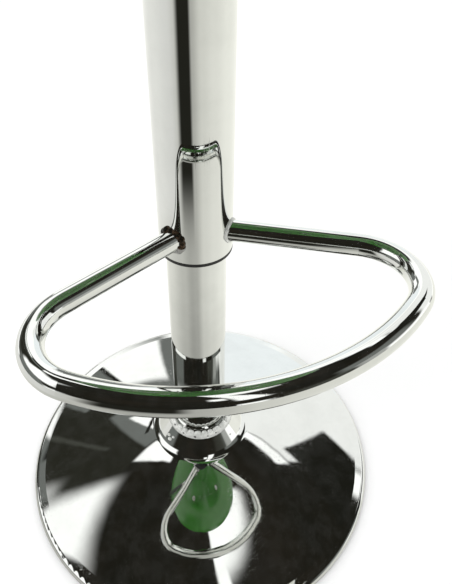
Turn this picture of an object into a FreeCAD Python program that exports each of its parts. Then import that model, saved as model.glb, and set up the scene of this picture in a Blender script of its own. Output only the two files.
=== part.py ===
import FreeCAD, Part
import math
import os
import Sketcher

# A bar stool on a gas lift: a dished round foot, a fixed lower tube, and an upper sleeve that
# carries the D-shaped footrest and the seat. The sleeve slides and turns over the lower tube.
# Millimetres, +Z up. The origin is on the floor, on the column's axis. The footrest's front is -Y.
# The stool stands at a middle height. The lift goes down from here, and up a little.

SIZES = (
    # foot
    ("base_diameter", 385, "outer diameter of the dished foot"),
    ("pad_height", 3, "rubber ring under the rim"),
    ("rim_height", 8, "top of the rim's rolled edge above the floor"),
    ("rim_roll", 5, "radius of the rolled edge"),
    ("rim_width", 12, "width of the flat lip inside the rolled edge"),
    ("cone_radius", 48, "where the dish's slope turns up into the neck"),
    ("cone_height", 50, "height of the dish there"),
    ("neck_radius", 37, "top of the dish's neck"),
    ("neck_height", 65, "height of the neck"),
    ("dish_camber", 1000, "radius of the dish's low swell"),
    ("neck_curve", 17, "radius of the hollow where the dish turns up"),
    ("dish_wall", 2, "sheet of the dish"),
    ("pad_width", 14, "width of the rubber ring"),
    ("plate_wall", 4, "steel plate that closes the foot"),
    # foot of the column
    ("hub_width", 4, "width of the stepped ring round the tube's foot"),
    ("hub_height", 10, "height of its plain lower part"),
    ("hub_step", 1.8, "height of each step above that"),
    ("bead_width", 4.3, "width of the weld round the stepped ring"),
    ("bead_height", 9.4, "height of that weld"),
    # column
    ("tube_diameter", 55, "lower tube, outside"),
    ("tube_wall", 2, "wall of the lower tube"),
    ("tube_top", 440, "top of the lower tube"),
    ("column_wall", 1.5, "wall of the gas lift's own column"),
    ("column_play", 0.3, "room between the column and the lower tube"),
    ("floor_height", 20, "underside of the column's floor"),
    ("floor_wall", 8, "thickness of the column's floor"),
    ("bush_length", 70, "guide bush in the column's mouth"),
    ("bush_lip", 3, "thickness of the plastic lips that show"),
    ("guide_length", 15, "outer guide bush at the top of the lower tube"),
    # gas lift
    ("rod_diameter", 10, "piston rod"),
    ("rod_foot", 12, "lower end of the rod"),
    ("rod_neck", 8, "rod's diameter below the bearing"),
    ("piston_seat", 296, "underside of the piston"),
    ("piston_length", 14, "length of the piston"),
    ("ring_groove", 3, "width of the piston's seal"),
    ("cylinder_diameter", 28, "gas cylinder, outside"),
    ("cylinder_wall", 2, "wall of the gas cylinder"),
    ("cylinder_foot", 192, "lower end of the gas cylinder"),
    ("cylinder_top", 652, "upper end of the gas cylinder"),
    ("taper_length", 48, "length of the cylinder's tapered head"),
    ("taper_drop", 1.2, "how much narrower the head is at the top, on the radius"),
    ("guide_height", 18, "rod guide in the cylinder's lower end"),
    ("seal_height", 5, "rod seal above the guide"),
    ("valve_length", 40, "valve block in the cylinder's head"),
    ("pin_diameter", 4, "valve pin"),
    ("pin_head", 8, "diameter of the pin's head"),
    ("pin_rise", 10, "top of the pin above the cylinder"),
    ("pin_head_height", 4, "height of the pin's head"),
    # bearing under the rod
    ("ball_diameter", 4, "bearing ball"),
    ("ball_circle", 21, "diameter of the circle of balls"),
    ("race_wall", 2, "thickness of a bearing race"),
    ("race_outer", 28, "outer diameter of the races"),
    ("cage_wall", 1.6, "thickness of the ball cage"),
    ("stop_height", 10, "rubber stop on the rod"),
    ("stop_outer", 22, "outer diameter of the rubber stop"),
    ("shoulder_height", 2, "washer pressed on the rod over the upper race"),
    ("clip_height", 1.6, "spring clip under the rod's washer"),
    ("clip_outer", 17, "outer diameter of the clip"),
    # sleeve
    ("sleeve_diameter", 66, "upper sleeve, outside"),
    ("sleeve_wall", 1.5, "wall of the sleeve"),
    ("sleeve_foot", 307, "lower end of the sleeve"),
    ("sleeve_top", 640, "upper end of the sleeve"),
    ("sleeve_bush_length", 24, "guide bush in the sleeve's mouth"),
    ("head_wall", 4, "steel ring that joins the sleeve to the socket"),
    ("head_depth", 4, "how far that ring sits below the sleeve's top"),
    # footrest
    ("ring_height", 328, "middle of the footrest's tube"),
    ("ring_tube", 19, "footrest tube, outside"),
    ("ring_wall", 1.5, "wall of the footrest tube"),
    ("ring_reach", 193, "middle of the tube in front of the column's axis"),
    ("front_radius", 210, "radius of the long front bend"),
    ("corner_radius", 47, "radius of the two corner bends"),
    ("ring_width", 310, "overall width of the footrest"),
    ("leg_offset", 6, "where the legs' lines would meet, in front of the axis"),
    ("weld_size", 2.6, "leg of the weld round each footrest leg"),
    # seat frame
    ("socket_diameter", 40, "socket on the cylinder's taper"),
    ("slot_width", 10, "slot in the socket for the lever"),
    ("slot_foot", 656, "bottom of that slot"),
    ("frame_height", 680, "top of the seat plate"),
    ("frame_wall", 3, "thickness of the seat plate"),
    ("hole_margin", 15, "from the middle of a seat screw to the plate's edge"),
    ("frame_round", 14, "corner radius of the seat plate"),
    ("frame_flange", 13, "depth of the plate's folded edges"),
    ("hole_spacing", 140, "distance between the seat's screws"),
    ("screw_diameter", 6, "seat screws"),
    ("screw_length", 16, "screw under its head"),
    ("head_diameter", 11, "screw head"),
    ("head_height", 4, "screw head"),
    ("washer_diameter", 16, "washer under the screw head"),
    ("washer_wall", 1.6, "thickness of the washer"),
    ("hole_play", 0.25, "room round a screw"),
    ("nut_barrel", 8, "barrel of the nut sunk in the seat board"),
    ("nut_flange", 19, "flange of that nut"),
    ("nut_flange_wall", 1.2, "thickness of that flange"),
    ("nut_length", 9, "depth of the nut's barrel"),
    # lever
    ("lever_diameter", 8, "lever rod"),
    ("lever_height", 668, "middle of the lever at the column"),
    ("pivot_reach", 26, "lever's pin from the column's axis"),
    ("pivot_diameter", 5, "lever's pin"),
    ("eye_diameter", 12, "eye of the lever"),
    ("eye_width", 9, "width of the eye"),
    ("ear_wall", 2.5, "thickness of the ears that hold the pin"),
    ("ear_width", 13, "width of the ears"),
    ("ear_drop", 16, "depth of the ears under the plate"),
    ("ear_play", 0.5, "room at each side of the eye"),
    ("tip_gap", 0.3, "air between the lever's tip and the valve pin"),
    ("bend_start", 48, "where the lever bends down, from the axis"),
    ("bend_run", 44, "length of the lever's slope, measured level"),
    ("bend_radius", 24, "radius of the lever's bends"),
    ("lever_drop", 20, "how much lower the lever's outer part lies"),
    ("tip_radius", 6, "rounded tip of the lever over the valve pin"),
    ("tip_width", 6, "width of that tip"),
    ("lever_reach", 186, "lever's outer end from the axis"),
    ("grip_length", 62, "length of the grip"),
    ("grip_diameter", 18, "widest diameter of the grip"),
    ("grip_neck", 13, "narrowest diameter of the grip"),
    ("grip_wall", 4, "how far the grip runs past the rod's end"),
    # seat
    ("seat_diameter", 390, "seat pan"),
    ("pan_wall", 4, "wall of the seat pan"),
    ("pan_margin", 5, "how far the pan's flat middle reaches past the board"),
    ("pan_rise", 28, "height of the pan's rim above its floor"),
    ("pan_curve", 104, "radius of the pan's turned-up side"),
    ("board_margin", 21, "from the middle of a seat screw to the plywood board's edge"),
    ("board_wall", 12, "thickness of the board"),
    ("cushion_side", 28, "height of the cushion's side"),
    ("cushion_bulge", 40, "radius of the cushion's bulged side"),
    ("cushion_inset", 7, "how far the side seam stands in from the pan's rim"),
    ("cushion_crown", 15, "rise of the cushion's top"),
    ("panel_diameter", 210, "middle panel of the cushion"),
    ("channel_depth", 4, "depth of the stitched channel round the panel"),
    ("channel_width", 14, "width of that channel"),
    ("piping_diameter", 5, "piping between the cushion's top and side"),
    ("soft_gap", 0.3, "room round the soft pieces"),
    # fits
    ("contact_gap", 0.05, "room between round pieces that touch"),
    ("running_gap", 0.05, "room in a sliding or turning fit, on the radius"),
)

BALL_COUNT = 12
SCREW_COUNT = 4
FULL_TURN = 360
CROWN_SHARE = 0.25


class Size:
    """A size that keeps its number and the expression that gives it."""

    def __init__(self, text, value):
        self.text = text
        self.value = value

    def joined(self, other, sign, value):
        return Size("(%s %s %s)" % (self.text, sign, as_size(other).text), value)

    def __add__(self, other):
        return self.joined(other, "+", self.value + as_size(other).value)

    def __sub__(self, other):
        return self.joined(other, "-", self.value - as_size(other).value)

    def __mul__(self, other):
        return self.joined(other, "*", self.value * as_size(other).value)

    def __truediv__(self, other):
        return self.joined(other, "/", self.value / as_size(other).value)

    def __neg__(self):
        return Size("(0 - %s)" % self.text, -self.value)


def as_size(number):
    if isinstance(number, Size):
        return number
    return Size(repr(number), number)


def root(size):
    return Size("sqrt(%s)" % size.text, math.sqrt(size.value))


doc = FreeCAD.newDocument("bar_stool")
sheet = doc.addObject("Spreadsheet::Sheet", "sizes")
for row, (alias, number, meaning) in enumerate(SIZES, 1):
    sheet.set("A%d" % row, alias)
    sheet.set("B%d" % row, str(number))
    sheet.set("C%d" % row, meaning)
    sheet.setAlias("B%d" % row, alias)
doc.recompute()


class Sheet:
    """Gives each size in the sheet by its name."""

    def __getattr__(self, alias):
        return Size("sizes." + alias, float(sheet.get(alias)))


s = Sheet()
pieces = []


def bind(item, prop, size):
    item.setExpression(prop, as_size(size).text)


def new_body(label, many=False):
    item = doc.addObject("PartDesign::Body", label)
    item.Label = label
    item.AllowCompound = many
    pieces.append(item)
    return item


def origin_part(item, role):
    for feature in item.Origin.OriginFeatures:
        if feature.Role == role:
            return feature
    raise ValueError("no " + role)


def new_sketch(item, role, name, lift=0):
    """A sketch on one of the piece's own planes, raised along that plane's normal."""
    sketch = item.newObject("Sketcher::SketchObject", name)
    sketch.AttachmentSupport = [(origin_part(item, role), "")]
    sketch.MapMode = "FlatFace"
    bind(sketch, "AttachmentOffset.Base.z", lift)
    return sketch


def constrain(sketch, size, kind, *where):
    """A constraint whose value follows a size."""
    index = sketch.addConstraint(Sketcher.Constraint(kind, *where, as_size(size).value))
    bind(sketch, "Constraints[%d]" % index, size)


def pin(sketch, edge, end, across, up):
    """Hold one end of an edge at its place on the sketch."""
    for size, kind, axis in ((across, "DistanceX", -2), (up, "DistanceY", -1)):
        if as_size(size).value == 0 and not isinstance(size, Size):
            sketch.addConstraint(Sketcher.Constraint("PointOnObject", edge, end, axis))
        else:
            constrain(sketch, size, kind, -1, 1, edge, end)


def arc_between(start, end, radius):
    """The short arc from start to end. It turns left for a positive radius, right for a negative."""
    way = end.sub(start)
    left = FreeCAD.Vector(-way.y, way.x, 0)
    left.normalize()
    height = math.sqrt(radius * radius - way.Length * way.Length / 4)
    centre = (start + end) * 0.5 + left * math.copysign(height, radius)
    first, last = (start, end) if radius > 0 else (end, start)
    angles = [math.atan2(p.y - centre.y, p.x - centre.x) for p in (first, last)]
    circle = Part.Circle(centre, FreeCAD.Vector(0, 0, 1), abs(radius))
    return Part.ArcOfCircle(circle, angles[0], angles[1])


def draw(sketch, points, pairs):
    """Lines and arcs between neighbouring points. A third size in a point is the arc to the next."""
    ends = []
    for point, following in pairs:
        start = FreeCAD.Vector(as_size(point[0]).value, as_size(point[1]).value, 0)
        end = FreeCAD.Vector(as_size(following[0]).value, as_size(following[1]).value, 0)
        if len(point) == 2:
            ends.append((sketch.addGeometry(Part.LineSegment(start, end)), 1, 2))
        else:
            radius = point[2]
            edge = sketch.addGeometry(arc_between(start, end, radius.value))
            ends.append((edge, 1, 2) if radius.value > 0 else (edge, 2, 1))
            constrain(sketch, radius if radius.value > 0 else -radius, "Radius", edge)
    for index, (point, following) in enumerate(pairs):
        pin(sketch, ends[index][0], ends[index][1], point[0], point[1])
    return ends


def join(sketch, first, second):
    sketch.addConstraint(Sketcher.Constraint("Coincident", first[0], first[2], second[0], second[1]))


def outline(sketch, points):
    """A closed outline. A point is (across, up), with a third size where an arc goes on to the next."""
    ends = draw(sketch, points, list(zip(points, points[1:] + points[:1])))
    for index, edge in enumerate(ends):
        join(sketch, edge, ends[(index + 1) % len(ends)])


def route(sketch, points):
    """An open line of runs and arcs."""
    ends = draw(sketch, points, list(zip(points, points[1:])))
    for first, second in zip(ends, ends[1:]):
        join(sketch, first, second)
    last = ends[-1]
    pin(sketch, last[0], last[2], points[-1][0], points[-1][1])


def circle(sketch, radius, across=0, up=0):
    centre = FreeCAD.Vector(as_size(across).value, as_size(up).value, 0)
    edge = sketch.addGeometry(Part.Circle(centre, FreeCAD.Vector(0, 0, 1), as_size(radius).value))
    constrain(sketch, radius, "Radius", edge)
    pin(sketch, edge, 3, across, up)
    return edge


def revolve(item, sketch, axis="V_Axis"):
    turn = item.newObject("PartDesign::Revolution", sketch.Name + "_turn")
    turn.Profile = sketch
    turn.ReferenceAxis = (sketch, [axis])
    turn.Angle = FULL_TURN
    return turn


def turned(label, points):
    """A piece turned about the column's axis. Its outline is in radius and height."""
    item = new_body(label)
    sketch = new_sketch(item, "XZ_Plane", label + "_profile")
    outline(sketch, points)
    revolve(item, sketch)
    return item


def ring(label, inner, outer, low, high):
    return turned(label, [(inner, low), (outer, low), (outer, high), (inner, high)])


def pad(item, sketch, length, both_ways=False):
    feature = item.newObject("PartDesign::Pad", sketch.Name + "_pad")
    feature.Profile = sketch
    bind(feature, "Length", length)
    feature.Midplane = both_ways
    return feature


def cut_through(item, sketch):
    feature = item.newObject("PartDesign::Pocket", sketch.Name + "_cut")
    feature.Profile = sketch
    feature.Type = "ThroughAll"
    feature.Midplane = True
    return feature


def pattern(item, features, count):
    """Repeat features round the column's axis."""
    copies = item.newObject("PartDesign::PolarPattern", item.Name + "_pattern")
    copies.Originals = features
    copies.Axis = (origin_part(item, "Z_Axis"), [""])
    copies.Angle = FULL_TURN
    copies.Occurrences = count
    item.Tip = copies
    return copies


def drill_seat_holes(item, radius):
    sketch = new_sketch(item, "XY_Plane", item.Name + "_hole")
    circle(sketch, radius, s.hole_spacing / 2, s.hole_spacing / 2)
    pattern(item, [cut_through(item, sketch)], SCREW_COUNT)


# Sizes that several pieces share
base_radius = s.base_diameter / 2
tube_outer = s.tube_diameter / 2
tube_inner = tube_outer - s.tube_wall
column_outer = tube_inner - s.column_play
column_inner = column_outer - s.column_wall
plate_top = s.pad_height + s.plate_wall
column_floor_top = s.floor_height + s.floor_wall
cylinder_outer = s.cylinder_diameter / 2
cylinder_inner = cylinder_outer - s.cylinder_wall
rod_outer = s.rod_diameter / 2
taper_foot = s.cylinder_top - s.taper_length
taper_outer = cylinder_outer - s.taper_drop
sleeve_outer = s.sleeve_diameter / 2
sleeve_inner = sleeve_outer - s.sleeve_wall
socket_outer = s.socket_diameter / 2
frame_low = s.frame_height - s.frame_wall
hole_reach = root(s.hole_spacing * s.hole_spacing * 2) / 2
board_radius = hole_reach + s.board_margin
ring_radius = s.ring_tube / 2


def make_foot():
    """The dished foot, its rubber ring, the plate inside it and the welded hub."""
    rim_low = s.pad_height
    rim_inner = base_radius - s.dish_wall
    roll_top = base_radius - s.rim_roll
    lip_inner = base_radius - s.rim_width
    under = s.dish_wall
    turned("base_dish", [
        (base_radius, rim_low),
        (base_radius, s.rim_height - s.rim_roll + s.dish_wall / 2, s.rim_roll),
        (roll_top, s.rim_height + s.dish_wall / 2),
        (lip_inner, s.rim_height + s.dish_wall, s.dish_camber),
        (s.cone_radius, s.cone_height, -s.neck_curve),
        (s.neck_radius, s.neck_height),
        (tube_outer + s.contact_gap, s.neck_height),
        (tube_outer + s.contact_gap, s.neck_height - under),
        (s.neck_radius - under, s.neck_height - under, s.neck_curve + under),
        (s.cone_radius - under / 2, s.cone_height - under, -s.dish_camber),
        (lip_inner, s.rim_height),
        (roll_top, s.rim_height - s.dish_wall / 2, -(s.rim_roll - under)),
        (rim_inner, s.rim_height - s.rim_roll + s.dish_wall / 2),
        (rim_inner, rim_low),
    ])
    ring("floor_ring", base_radius - s.pad_width, base_radius - s.dish_wall / 4, 0, s.pad_height)
    ring("base_plate", s.neck_radius / 2, (roll_top + lip_inner) / 2, s.pad_height, plate_top)
    hub_low = s.neck_height
    hub_outer = tube_outer + s.hub_width
    hub_mid = hub_low + s.hub_height
    hub_inner = tube_outer + s.contact_gap
    turned("hub_ring", [
        (hub_inner, hub_low),
        (hub_outer, hub_low),
        (hub_outer, hub_mid),
        (hub_outer - s.hub_width / 2, hub_mid + s.hub_step / 2),
        (hub_outer - s.hub_width / 2, hub_mid + s.hub_step),
        (hub_inner, hub_mid + s.hub_step + s.hub_step / 2),
    ])
    bead_inner = hub_outer + s.contact_gap
    turned("base_weld", [
        (bead_inner, hub_low),
        (bead_inner + s.bead_width, hub_low, s.bead_height),
        (bead_inner, hub_low + s.bead_height),
    ])


def make_column():
    """The fixed tube, the gas lift's column inside it, and their guide bushes."""
    ring("lower_tube", tube_inner, tube_outer, plate_top, s.tube_top)
    ring("column_tube", column_inner, column_outer, plate_top, s.tube_top)
    plug_outer = column_inner - s.contact_gap
    turned("column_floor", [
        (s.rod_neck / 2 + s.running_gap, s.floor_height),
        (plug_outer, s.floor_height),
        (plug_outer, column_floor_top),
        (s.rod_neck / 2 + s.running_gap, column_floor_top),
    ])
    bush_low = s.tube_top - s.bush_length
    bush_high = s.tube_top + s.bush_lip
    bush_bore = cylinder_outer + s.running_gap
    turned("column_bush", [
        (bush_bore, bush_low),
        (plug_outer, bush_low),
        (plug_outer, s.tube_top),
        (column_outer, s.tube_top),
        (column_outer, bush_high),
        (bush_bore, bush_high),
    ])
    guide_outer = sleeve_inner - s.running_gap
    guide_inner = tube_outer + s.contact_gap
    lip_inner = column_outer + s.contact_gap
    turned("tube_guide", [
        (guide_inner, s.tube_top - s.guide_length),
        (guide_outer, s.tube_top - s.guide_length),
        (guide_outer, bush_high),
        (lip_inner, bush_high),
        (lip_inner, s.tube_top),
        (guide_inner, s.tube_top),
    ])


def make_bearing():
    """The thrust bearing under the rod: two races, a cage and its balls."""
    race_inner = rod_outer + s.race_wall / 2
    race_outer = s.race_outer / 2
    race_low = column_floor_top
    ball_low = race_low + s.race_wall
    ball_high = ball_low + s.ball_diameter + s.contact_gap * 2
    ball_middle = (ball_low + ball_high) / 2
    ring("bearing_lower_race", race_inner, race_outer, race_low, ball_low)
    ring("bearing_upper_race", rod_outer + s.contact_gap, race_outer, ball_high, ball_high + s.race_wall)
    cage = ring("ball_cage", race_inner, race_outer - s.race_wall / 4,
                ball_middle - s.cage_wall / 2, ball_middle + s.cage_wall / 2)
    holes = new_sketch(cage, "XY_Plane", "ball_cage_hole")
    circle(holes, s.ball_diameter / 2 + s.contact_gap, s.ball_circle / 2, 0)
    pattern(cage, [cut_through(cage, holes)], BALL_COUNT)
    balls = new_body("bearing_balls", many=True)
    sketch = new_sketch(balls, "XZ_Plane", "bearing_ball_profile")
    ball_radius = s.ball_diameter / 2
    middle = s.ball_circle / 2
    outline(sketch, [
        (middle, ball_middle - ball_radius, ball_radius),
        (middle + ball_radius, ball_middle, ball_radius),
        (middle, ball_middle + ball_radius),
    ])
    axis = sketch.addGeometry(Part.LineSegment(
        FreeCAD.Vector(middle.value, (ball_middle - ball_radius).value, 0),
        FreeCAD.Vector(middle.value, (ball_middle + ball_radius).value, 0)), True)
    pin(sketch, axis, 1, middle, ball_middle - ball_radius)
    pin(sketch, axis, 2, middle, ball_middle + ball_radius)
    pattern(balls, [revolve(balls, sketch, "Axis0")], BALL_COUNT)
    return ball_high + s.race_wall


def make_rod(race_top):
    """The piston rod, held in the column's floor by its shoulder, washer and clip."""
    rod_top = s.piston_seat + s.piston_length
    neck = s.rod_neck / 2
    clip_low = s.floor_height - s.washer_wall - s.clip_height
    turned("piston_rod", [
        (0, s.rod_foot),
        (neck, s.rod_foot),
        (neck, column_floor_top),
        (rod_outer, column_floor_top + s.contact_gap),
        (rod_outer, s.piston_seat),
        (neck, s.piston_seat),
        (neck, rod_top),
        (0, rod_top),
    ])
    piston_outer = cylinder_inner - s.running_gap
    groove_low = s.piston_seat + (s.piston_length - s.ring_groove) / 2
    groove_depth = s.ring_groove
    turned("piston", [
        (neck + s.contact_gap, s.piston_seat),
        (piston_outer, s.piston_seat),
        (piston_outer, groove_low),
        (piston_outer - groove_depth, groove_low),
        (piston_outer - groove_depth, groove_low + s.ring_groove),
        (piston_outer, groove_low + s.ring_groove),
        (piston_outer, rod_top),
        (neck + s.contact_gap, rod_top),
    ])
    ring("piston_seal", piston_outer - groove_depth + s.contact_gap, piston_outer,
         groove_low, groove_low + s.ring_groove)
    shoulder_top = race_top + s.shoulder_height
    ring("rod_shoulder", rod_outer + s.contact_gap, s.stop_outer / 2, race_top, shoulder_top)
    ring("bump_stop", rod_outer + s.contact_gap, s.stop_outer / 2, shoulder_top,
         shoulder_top + s.stop_height)
    ring("rod_washer", neck + s.contact_gap, s.race_outer / 2, s.floor_height - s.washer_wall,
         s.floor_height)
    ring("rod_clip", neck + s.contact_gap, s.clip_outer / 2, clip_low, clip_low + s.clip_height)


def make_cylinder():
    """The gas cylinder with its rod guide, seal, valve block and valve pin."""
    mouth = cylinder_inner - s.cylinder_wall
    lip = s.cylinder_top - s.cylinder_wall
    turned("gas_cylinder", [
        (cylinder_inner, s.cylinder_foot),
        (cylinder_outer, s.cylinder_foot),
        (cylinder_outer, taper_foot),
        (taper_outer, s.cylinder_top),
        (mouth - s.cylinder_wall, s.cylinder_top),
        (mouth - s.cylinder_wall, lip),
        (mouth, lip),
        (mouth, taper_foot),
        (cylinder_inner, taper_foot - s.cylinder_wall),
    ])
    guide_bore = rod_outer + s.running_gap
    guide_outer = cylinder_inner - s.contact_gap
    guide_top = s.cylinder_foot + s.guide_height
    ring("rod_guide", guide_bore, guide_outer, s.cylinder_foot, guide_top)
    ring("rod_seal", guide_bore, guide_outer, guide_top, guide_top + s.seal_height)
    pin_radius = s.pin_diameter / 2
    ring("valve_block", pin_radius + s.running_gap, mouth - s.contact_gap, lip - s.valve_length, lip)
    pin_top = s.cylinder_top + s.pin_rise
    head_low = pin_top - s.pin_head_height
    head_round = s.pin_head_height / 4
    turned("valve_pin", [
        (0, lip - s.valve_length / 2),
        (pin_radius, lip - s.valve_length / 2),
        (pin_radius, head_low),
        (s.pin_head / 2, head_low),
        (s.pin_head / 2, pin_top - head_round),
        (s.pin_head / 2 - head_round, pin_top),
        (0, pin_top),
    ])


def make_sleeve():
    """The chromed upper sleeve, its guide bush and the ring that joins it to the seat's socket."""
    ring("sleeve", sleeve_inner, sleeve_outer, s.sleeve_foot, s.sleeve_top)
    bush_bore = tube_outer + s.running_gap
    turned("sleeve_bush", [
        (bush_bore, s.sleeve_foot - s.bush_lip),
        (sleeve_outer - s.bush_lip / 4, s.sleeve_foot - s.bush_lip),
        (sleeve_outer - s.bush_lip / 4, s.sleeve_foot),
        (sleeve_inner - s.contact_gap, s.sleeve_foot),
        (sleeve_inner - s.contact_gap, s.sleeve_foot + s.sleeve_bush_length),
        (bush_bore, s.sleeve_foot + s.sleeve_bush_length),
    ])
    head_top = s.sleeve_top - s.head_depth
    ring("sleeve_head", socket_outer + s.contact_gap, sleeve_inner - s.contact_gap,
         head_top - s.head_wall, head_top)


def cut_round(item, name, radius):
    sketch = new_sketch(item, "XY_Plane", name)
    circle(sketch, radius)
    cut_through(item, sketch)


def meet_corner():
    """Where the footrest's corner bend lies, and the slope of its leg, as plain numbers."""
    bend = s.corner_radius.value
    across = (s.ring_width / 2 - ring_radius - s.corner_radius).value
    front_middle = (s.front_radius - s.ring_reach).value
    reach = s.front_radius.value - bend
    centre = FreeCAD.Vector(across, front_middle - math.sqrt(reach * reach - across * across), 0)
    root_point = FreeCAD.Vector(0, -s.leg_offset.value, 0)
    way = centre - root_point
    turn = math.asin(bend / way.Length)
    direction = math.atan2(way.y, way.x) + turn
    along = math.sqrt(way.Length * way.Length - bend * bend)
    return centre, root_point, direction, along, FreeCAD.Vector(0, front_middle, 0)


def make_footrest():
    """The footrest: one D-shaped loop of tube, made as a half and its mirror image."""
    item = new_body("footrest_ring")
    centre, root_point, direction, along, front_middle = meet_corner()
    up = FreeCAD.Vector(0, 0, 1)
    front_end = math.atan2(centre.y - front_middle.y, centre.x)
    leg_end = root_point + FreeCAD.Vector(math.cos(direction), math.sin(direction), 0) * along
    path = new_sketch(item, "XY_Plane", "footrest_path", s.ring_height)
    front = path.addGeometry(Part.ArcOfCircle(
        Part.Circle(front_middle, up, s.front_radius.value), -math.pi / 2, front_end))
    corner = path.addGeometry(Part.ArcOfCircle(
        Part.Circle(centre, up, s.corner_radius.value), front_end, direction + math.pi / 2))
    leg = path.addGeometry(Part.LineSegment(leg_end, root_point))
    path.addConstraint([
        Sketcher.Constraint("PointOnObject", front, 3, -2),
        Sketcher.Constraint("PointOnObject", front, 1, -2),
        Sketcher.Constraint("PointOnObject", leg, 2, -2),
        Sketcher.Constraint("Tangent", front, 2, corner, 1),
        Sketcher.Constraint("Tangent", corner, 2, leg, 1),
    ])
    constrain(path, s.front_radius, "Radius", front)
    constrain(path, s.corner_radius, "Radius", corner)
    constrain(path, -s.ring_reach, "DistanceY", -1, 1, front, 1)
    constrain(path, -s.leg_offset, "DistanceY", -1, 1, leg, 2)
    constrain(path, s.ring_width / 2 - ring_radius - s.corner_radius, "DistanceX", -1, 1, corner, 3)
    section = new_sketch(item, "YZ_Plane", "footrest_section")
    circle(section, ring_radius, -s.ring_reach, s.ring_height)
    circle(section, ring_radius - s.ring_wall, -s.ring_reach, s.ring_height)
    pipe = item.newObject("PartDesign::AdditivePipe", "footrest_pipe")
    pipe.Profile = section
    pipe.Spine = (path, ["Edge1", "Edge2", "Edge3"])
    doc.recompute()
    mirror = item.newObject("PartDesign::Mirrored", "footrest_mirror")
    mirror.Originals = [pipe]
    mirror.MirrorPlane = (origin_part(item, "YZ_Plane"), [""])
    item.Tip = mirror
    cut_round(item, "footrest_cope", sleeve_outer + s.contact_gap)


def make_weld(label, side):
    """The weld round one leg of the footrest, on the sleeve."""
    centre, root_point, direction, along, front_middle = meet_corner()
    way = FreeCAD.Vector(math.cos(direction) * side, math.sin(direction), 0)
    start = FreeCAD.Vector(0, root_point.y, s.ring_height.value)
    collar = (sleeve_outer + s.contact_gap).value
    leg = (ring_radius + s.contact_gap).value
    size = s.weld_size.value
    foot = FreeCAD.Vector(0, 0, s.sleeve_foot.value)
    height = (s.sleeve_top - s.sleeve_foot).value
    # The weld fills the corner between two round bars, the sleeve and the leg.
    near_leg = Part.makeCylinder(leg + size, collar * 2, start, way)
    hole = Part.makeCylinder(leg, collar * 2, start, way)
    round_sleeve = Part.makeCylinder(collar + size, height, foot)
    sleeve_bar = Part.makeCylinder(collar, height, foot)
    bead = near_leg.common(round_sleeve).cut(sleeve_bar).cut(hole)
    rim = max(bead.Edges, key=lambda edge: edge.BoundBox.DiagonalLength)
    item = doc.addObject("Part::Feature", label)
    item.Shape = bead.makeChamfer(size / 2, [rim])
    item.Label = label
    pieces.append(item)


def make_seat_frame():
    """The socket on the gas cylinder, the seat plate and the bracket that holds the lever."""
    socket = new_body("taper_socket")
    sketch = new_sketch(socket, "XZ_Plane", "socket_profile")
    gap = s.contact_gap
    outline(sketch, [
        (cylinder_outer + gap, taper_foot),
        (socket_outer, taper_foot),
        (socket_outer, frame_low),
        (taper_outer + gap, frame_low),
        (taper_outer + gap, s.cylinder_top),
    ])
    revolve(socket, sketch)
    slot = new_sketch(socket, "YZ_Plane", "socket_slot")
    half = s.slot_width / 2
    outline(slot, [(-half, s.slot_foot), (half, s.slot_foot), (half, s.frame_height), (-half, s.frame_height)])
    groove = socket.newObject("PartDesign::Pocket", "socket_slot_cut")
    groove.Profile = slot
    bind(groove, "Length", s.socket_diameter)
    plate = new_body("seat_plate")
    flat = new_sketch(plate, "XY_Plane", "plate_outline", frame_low)
    reach = s.hole_spacing / 2 + s.hole_margin
    straight = reach - s.frame_round
    outline(flat, [
        (-straight, -reach),
        (straight, -reach, s.frame_round),
        (reach, -straight),
        (reach, straight, s.frame_round),
        (straight, reach),
        (-straight, reach, s.frame_round),
        (-reach, straight),
        (-reach, -straight, s.frame_round),
    ])
    pad(plate, flat, s.frame_wall)
    folds = new_sketch(plate, "XY_Plane", "plate_folds", s.frame_height - s.frame_flange)
    fold_inner = reach - s.frame_wall
    outline(folds, [(-straight, fold_inner), (straight, fold_inner), (straight, reach), (-straight, reach)])
    outline(folds, [(-straight, -reach), (straight, -reach), (straight, -fold_inner), (-straight, -fold_inner)])
    pad(plate, folds, s.frame_flange - s.frame_wall / 2)
    drill_seat_holes(plate, s.screw_diameter / 2 + s.hole_play)
    ears = new_body("lever_ears")
    section = new_sketch(ears, "YZ_Plane", "ear_section", -(s.pivot_reach + s.ear_width / 2))
    inner = s.eye_width / 2 + s.ear_play
    outer = inner + s.ear_wall
    low = frame_low - s.ear_drop
    outline(section, [
        (-outer, low),
        (-inner, low),
        (-inner, frame_low - s.ear_wall),
        (inner, frame_low - s.ear_wall),
        (inner, low),
        (outer, low),
        (outer, frame_low),
        (-outer, frame_low),
    ])
    pad(ears, section, s.ear_width)
    drill = new_sketch(ears, "XZ_Plane", "ear_hole")
    circle(drill, s.pivot_diameter / 2 + s.contact_gap, -s.pivot_reach, s.lever_height)
    cut_through(ears, drill)
    pivot = new_body("lever_pin")
    shaft = new_sketch(pivot, "XZ_Plane", "pin_section")
    circle(shaft, s.pivot_diameter / 2, -s.pivot_reach, s.lever_height)
    pad(pivot, shaft, (outer + s.ear_play) * 2, True)


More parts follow.
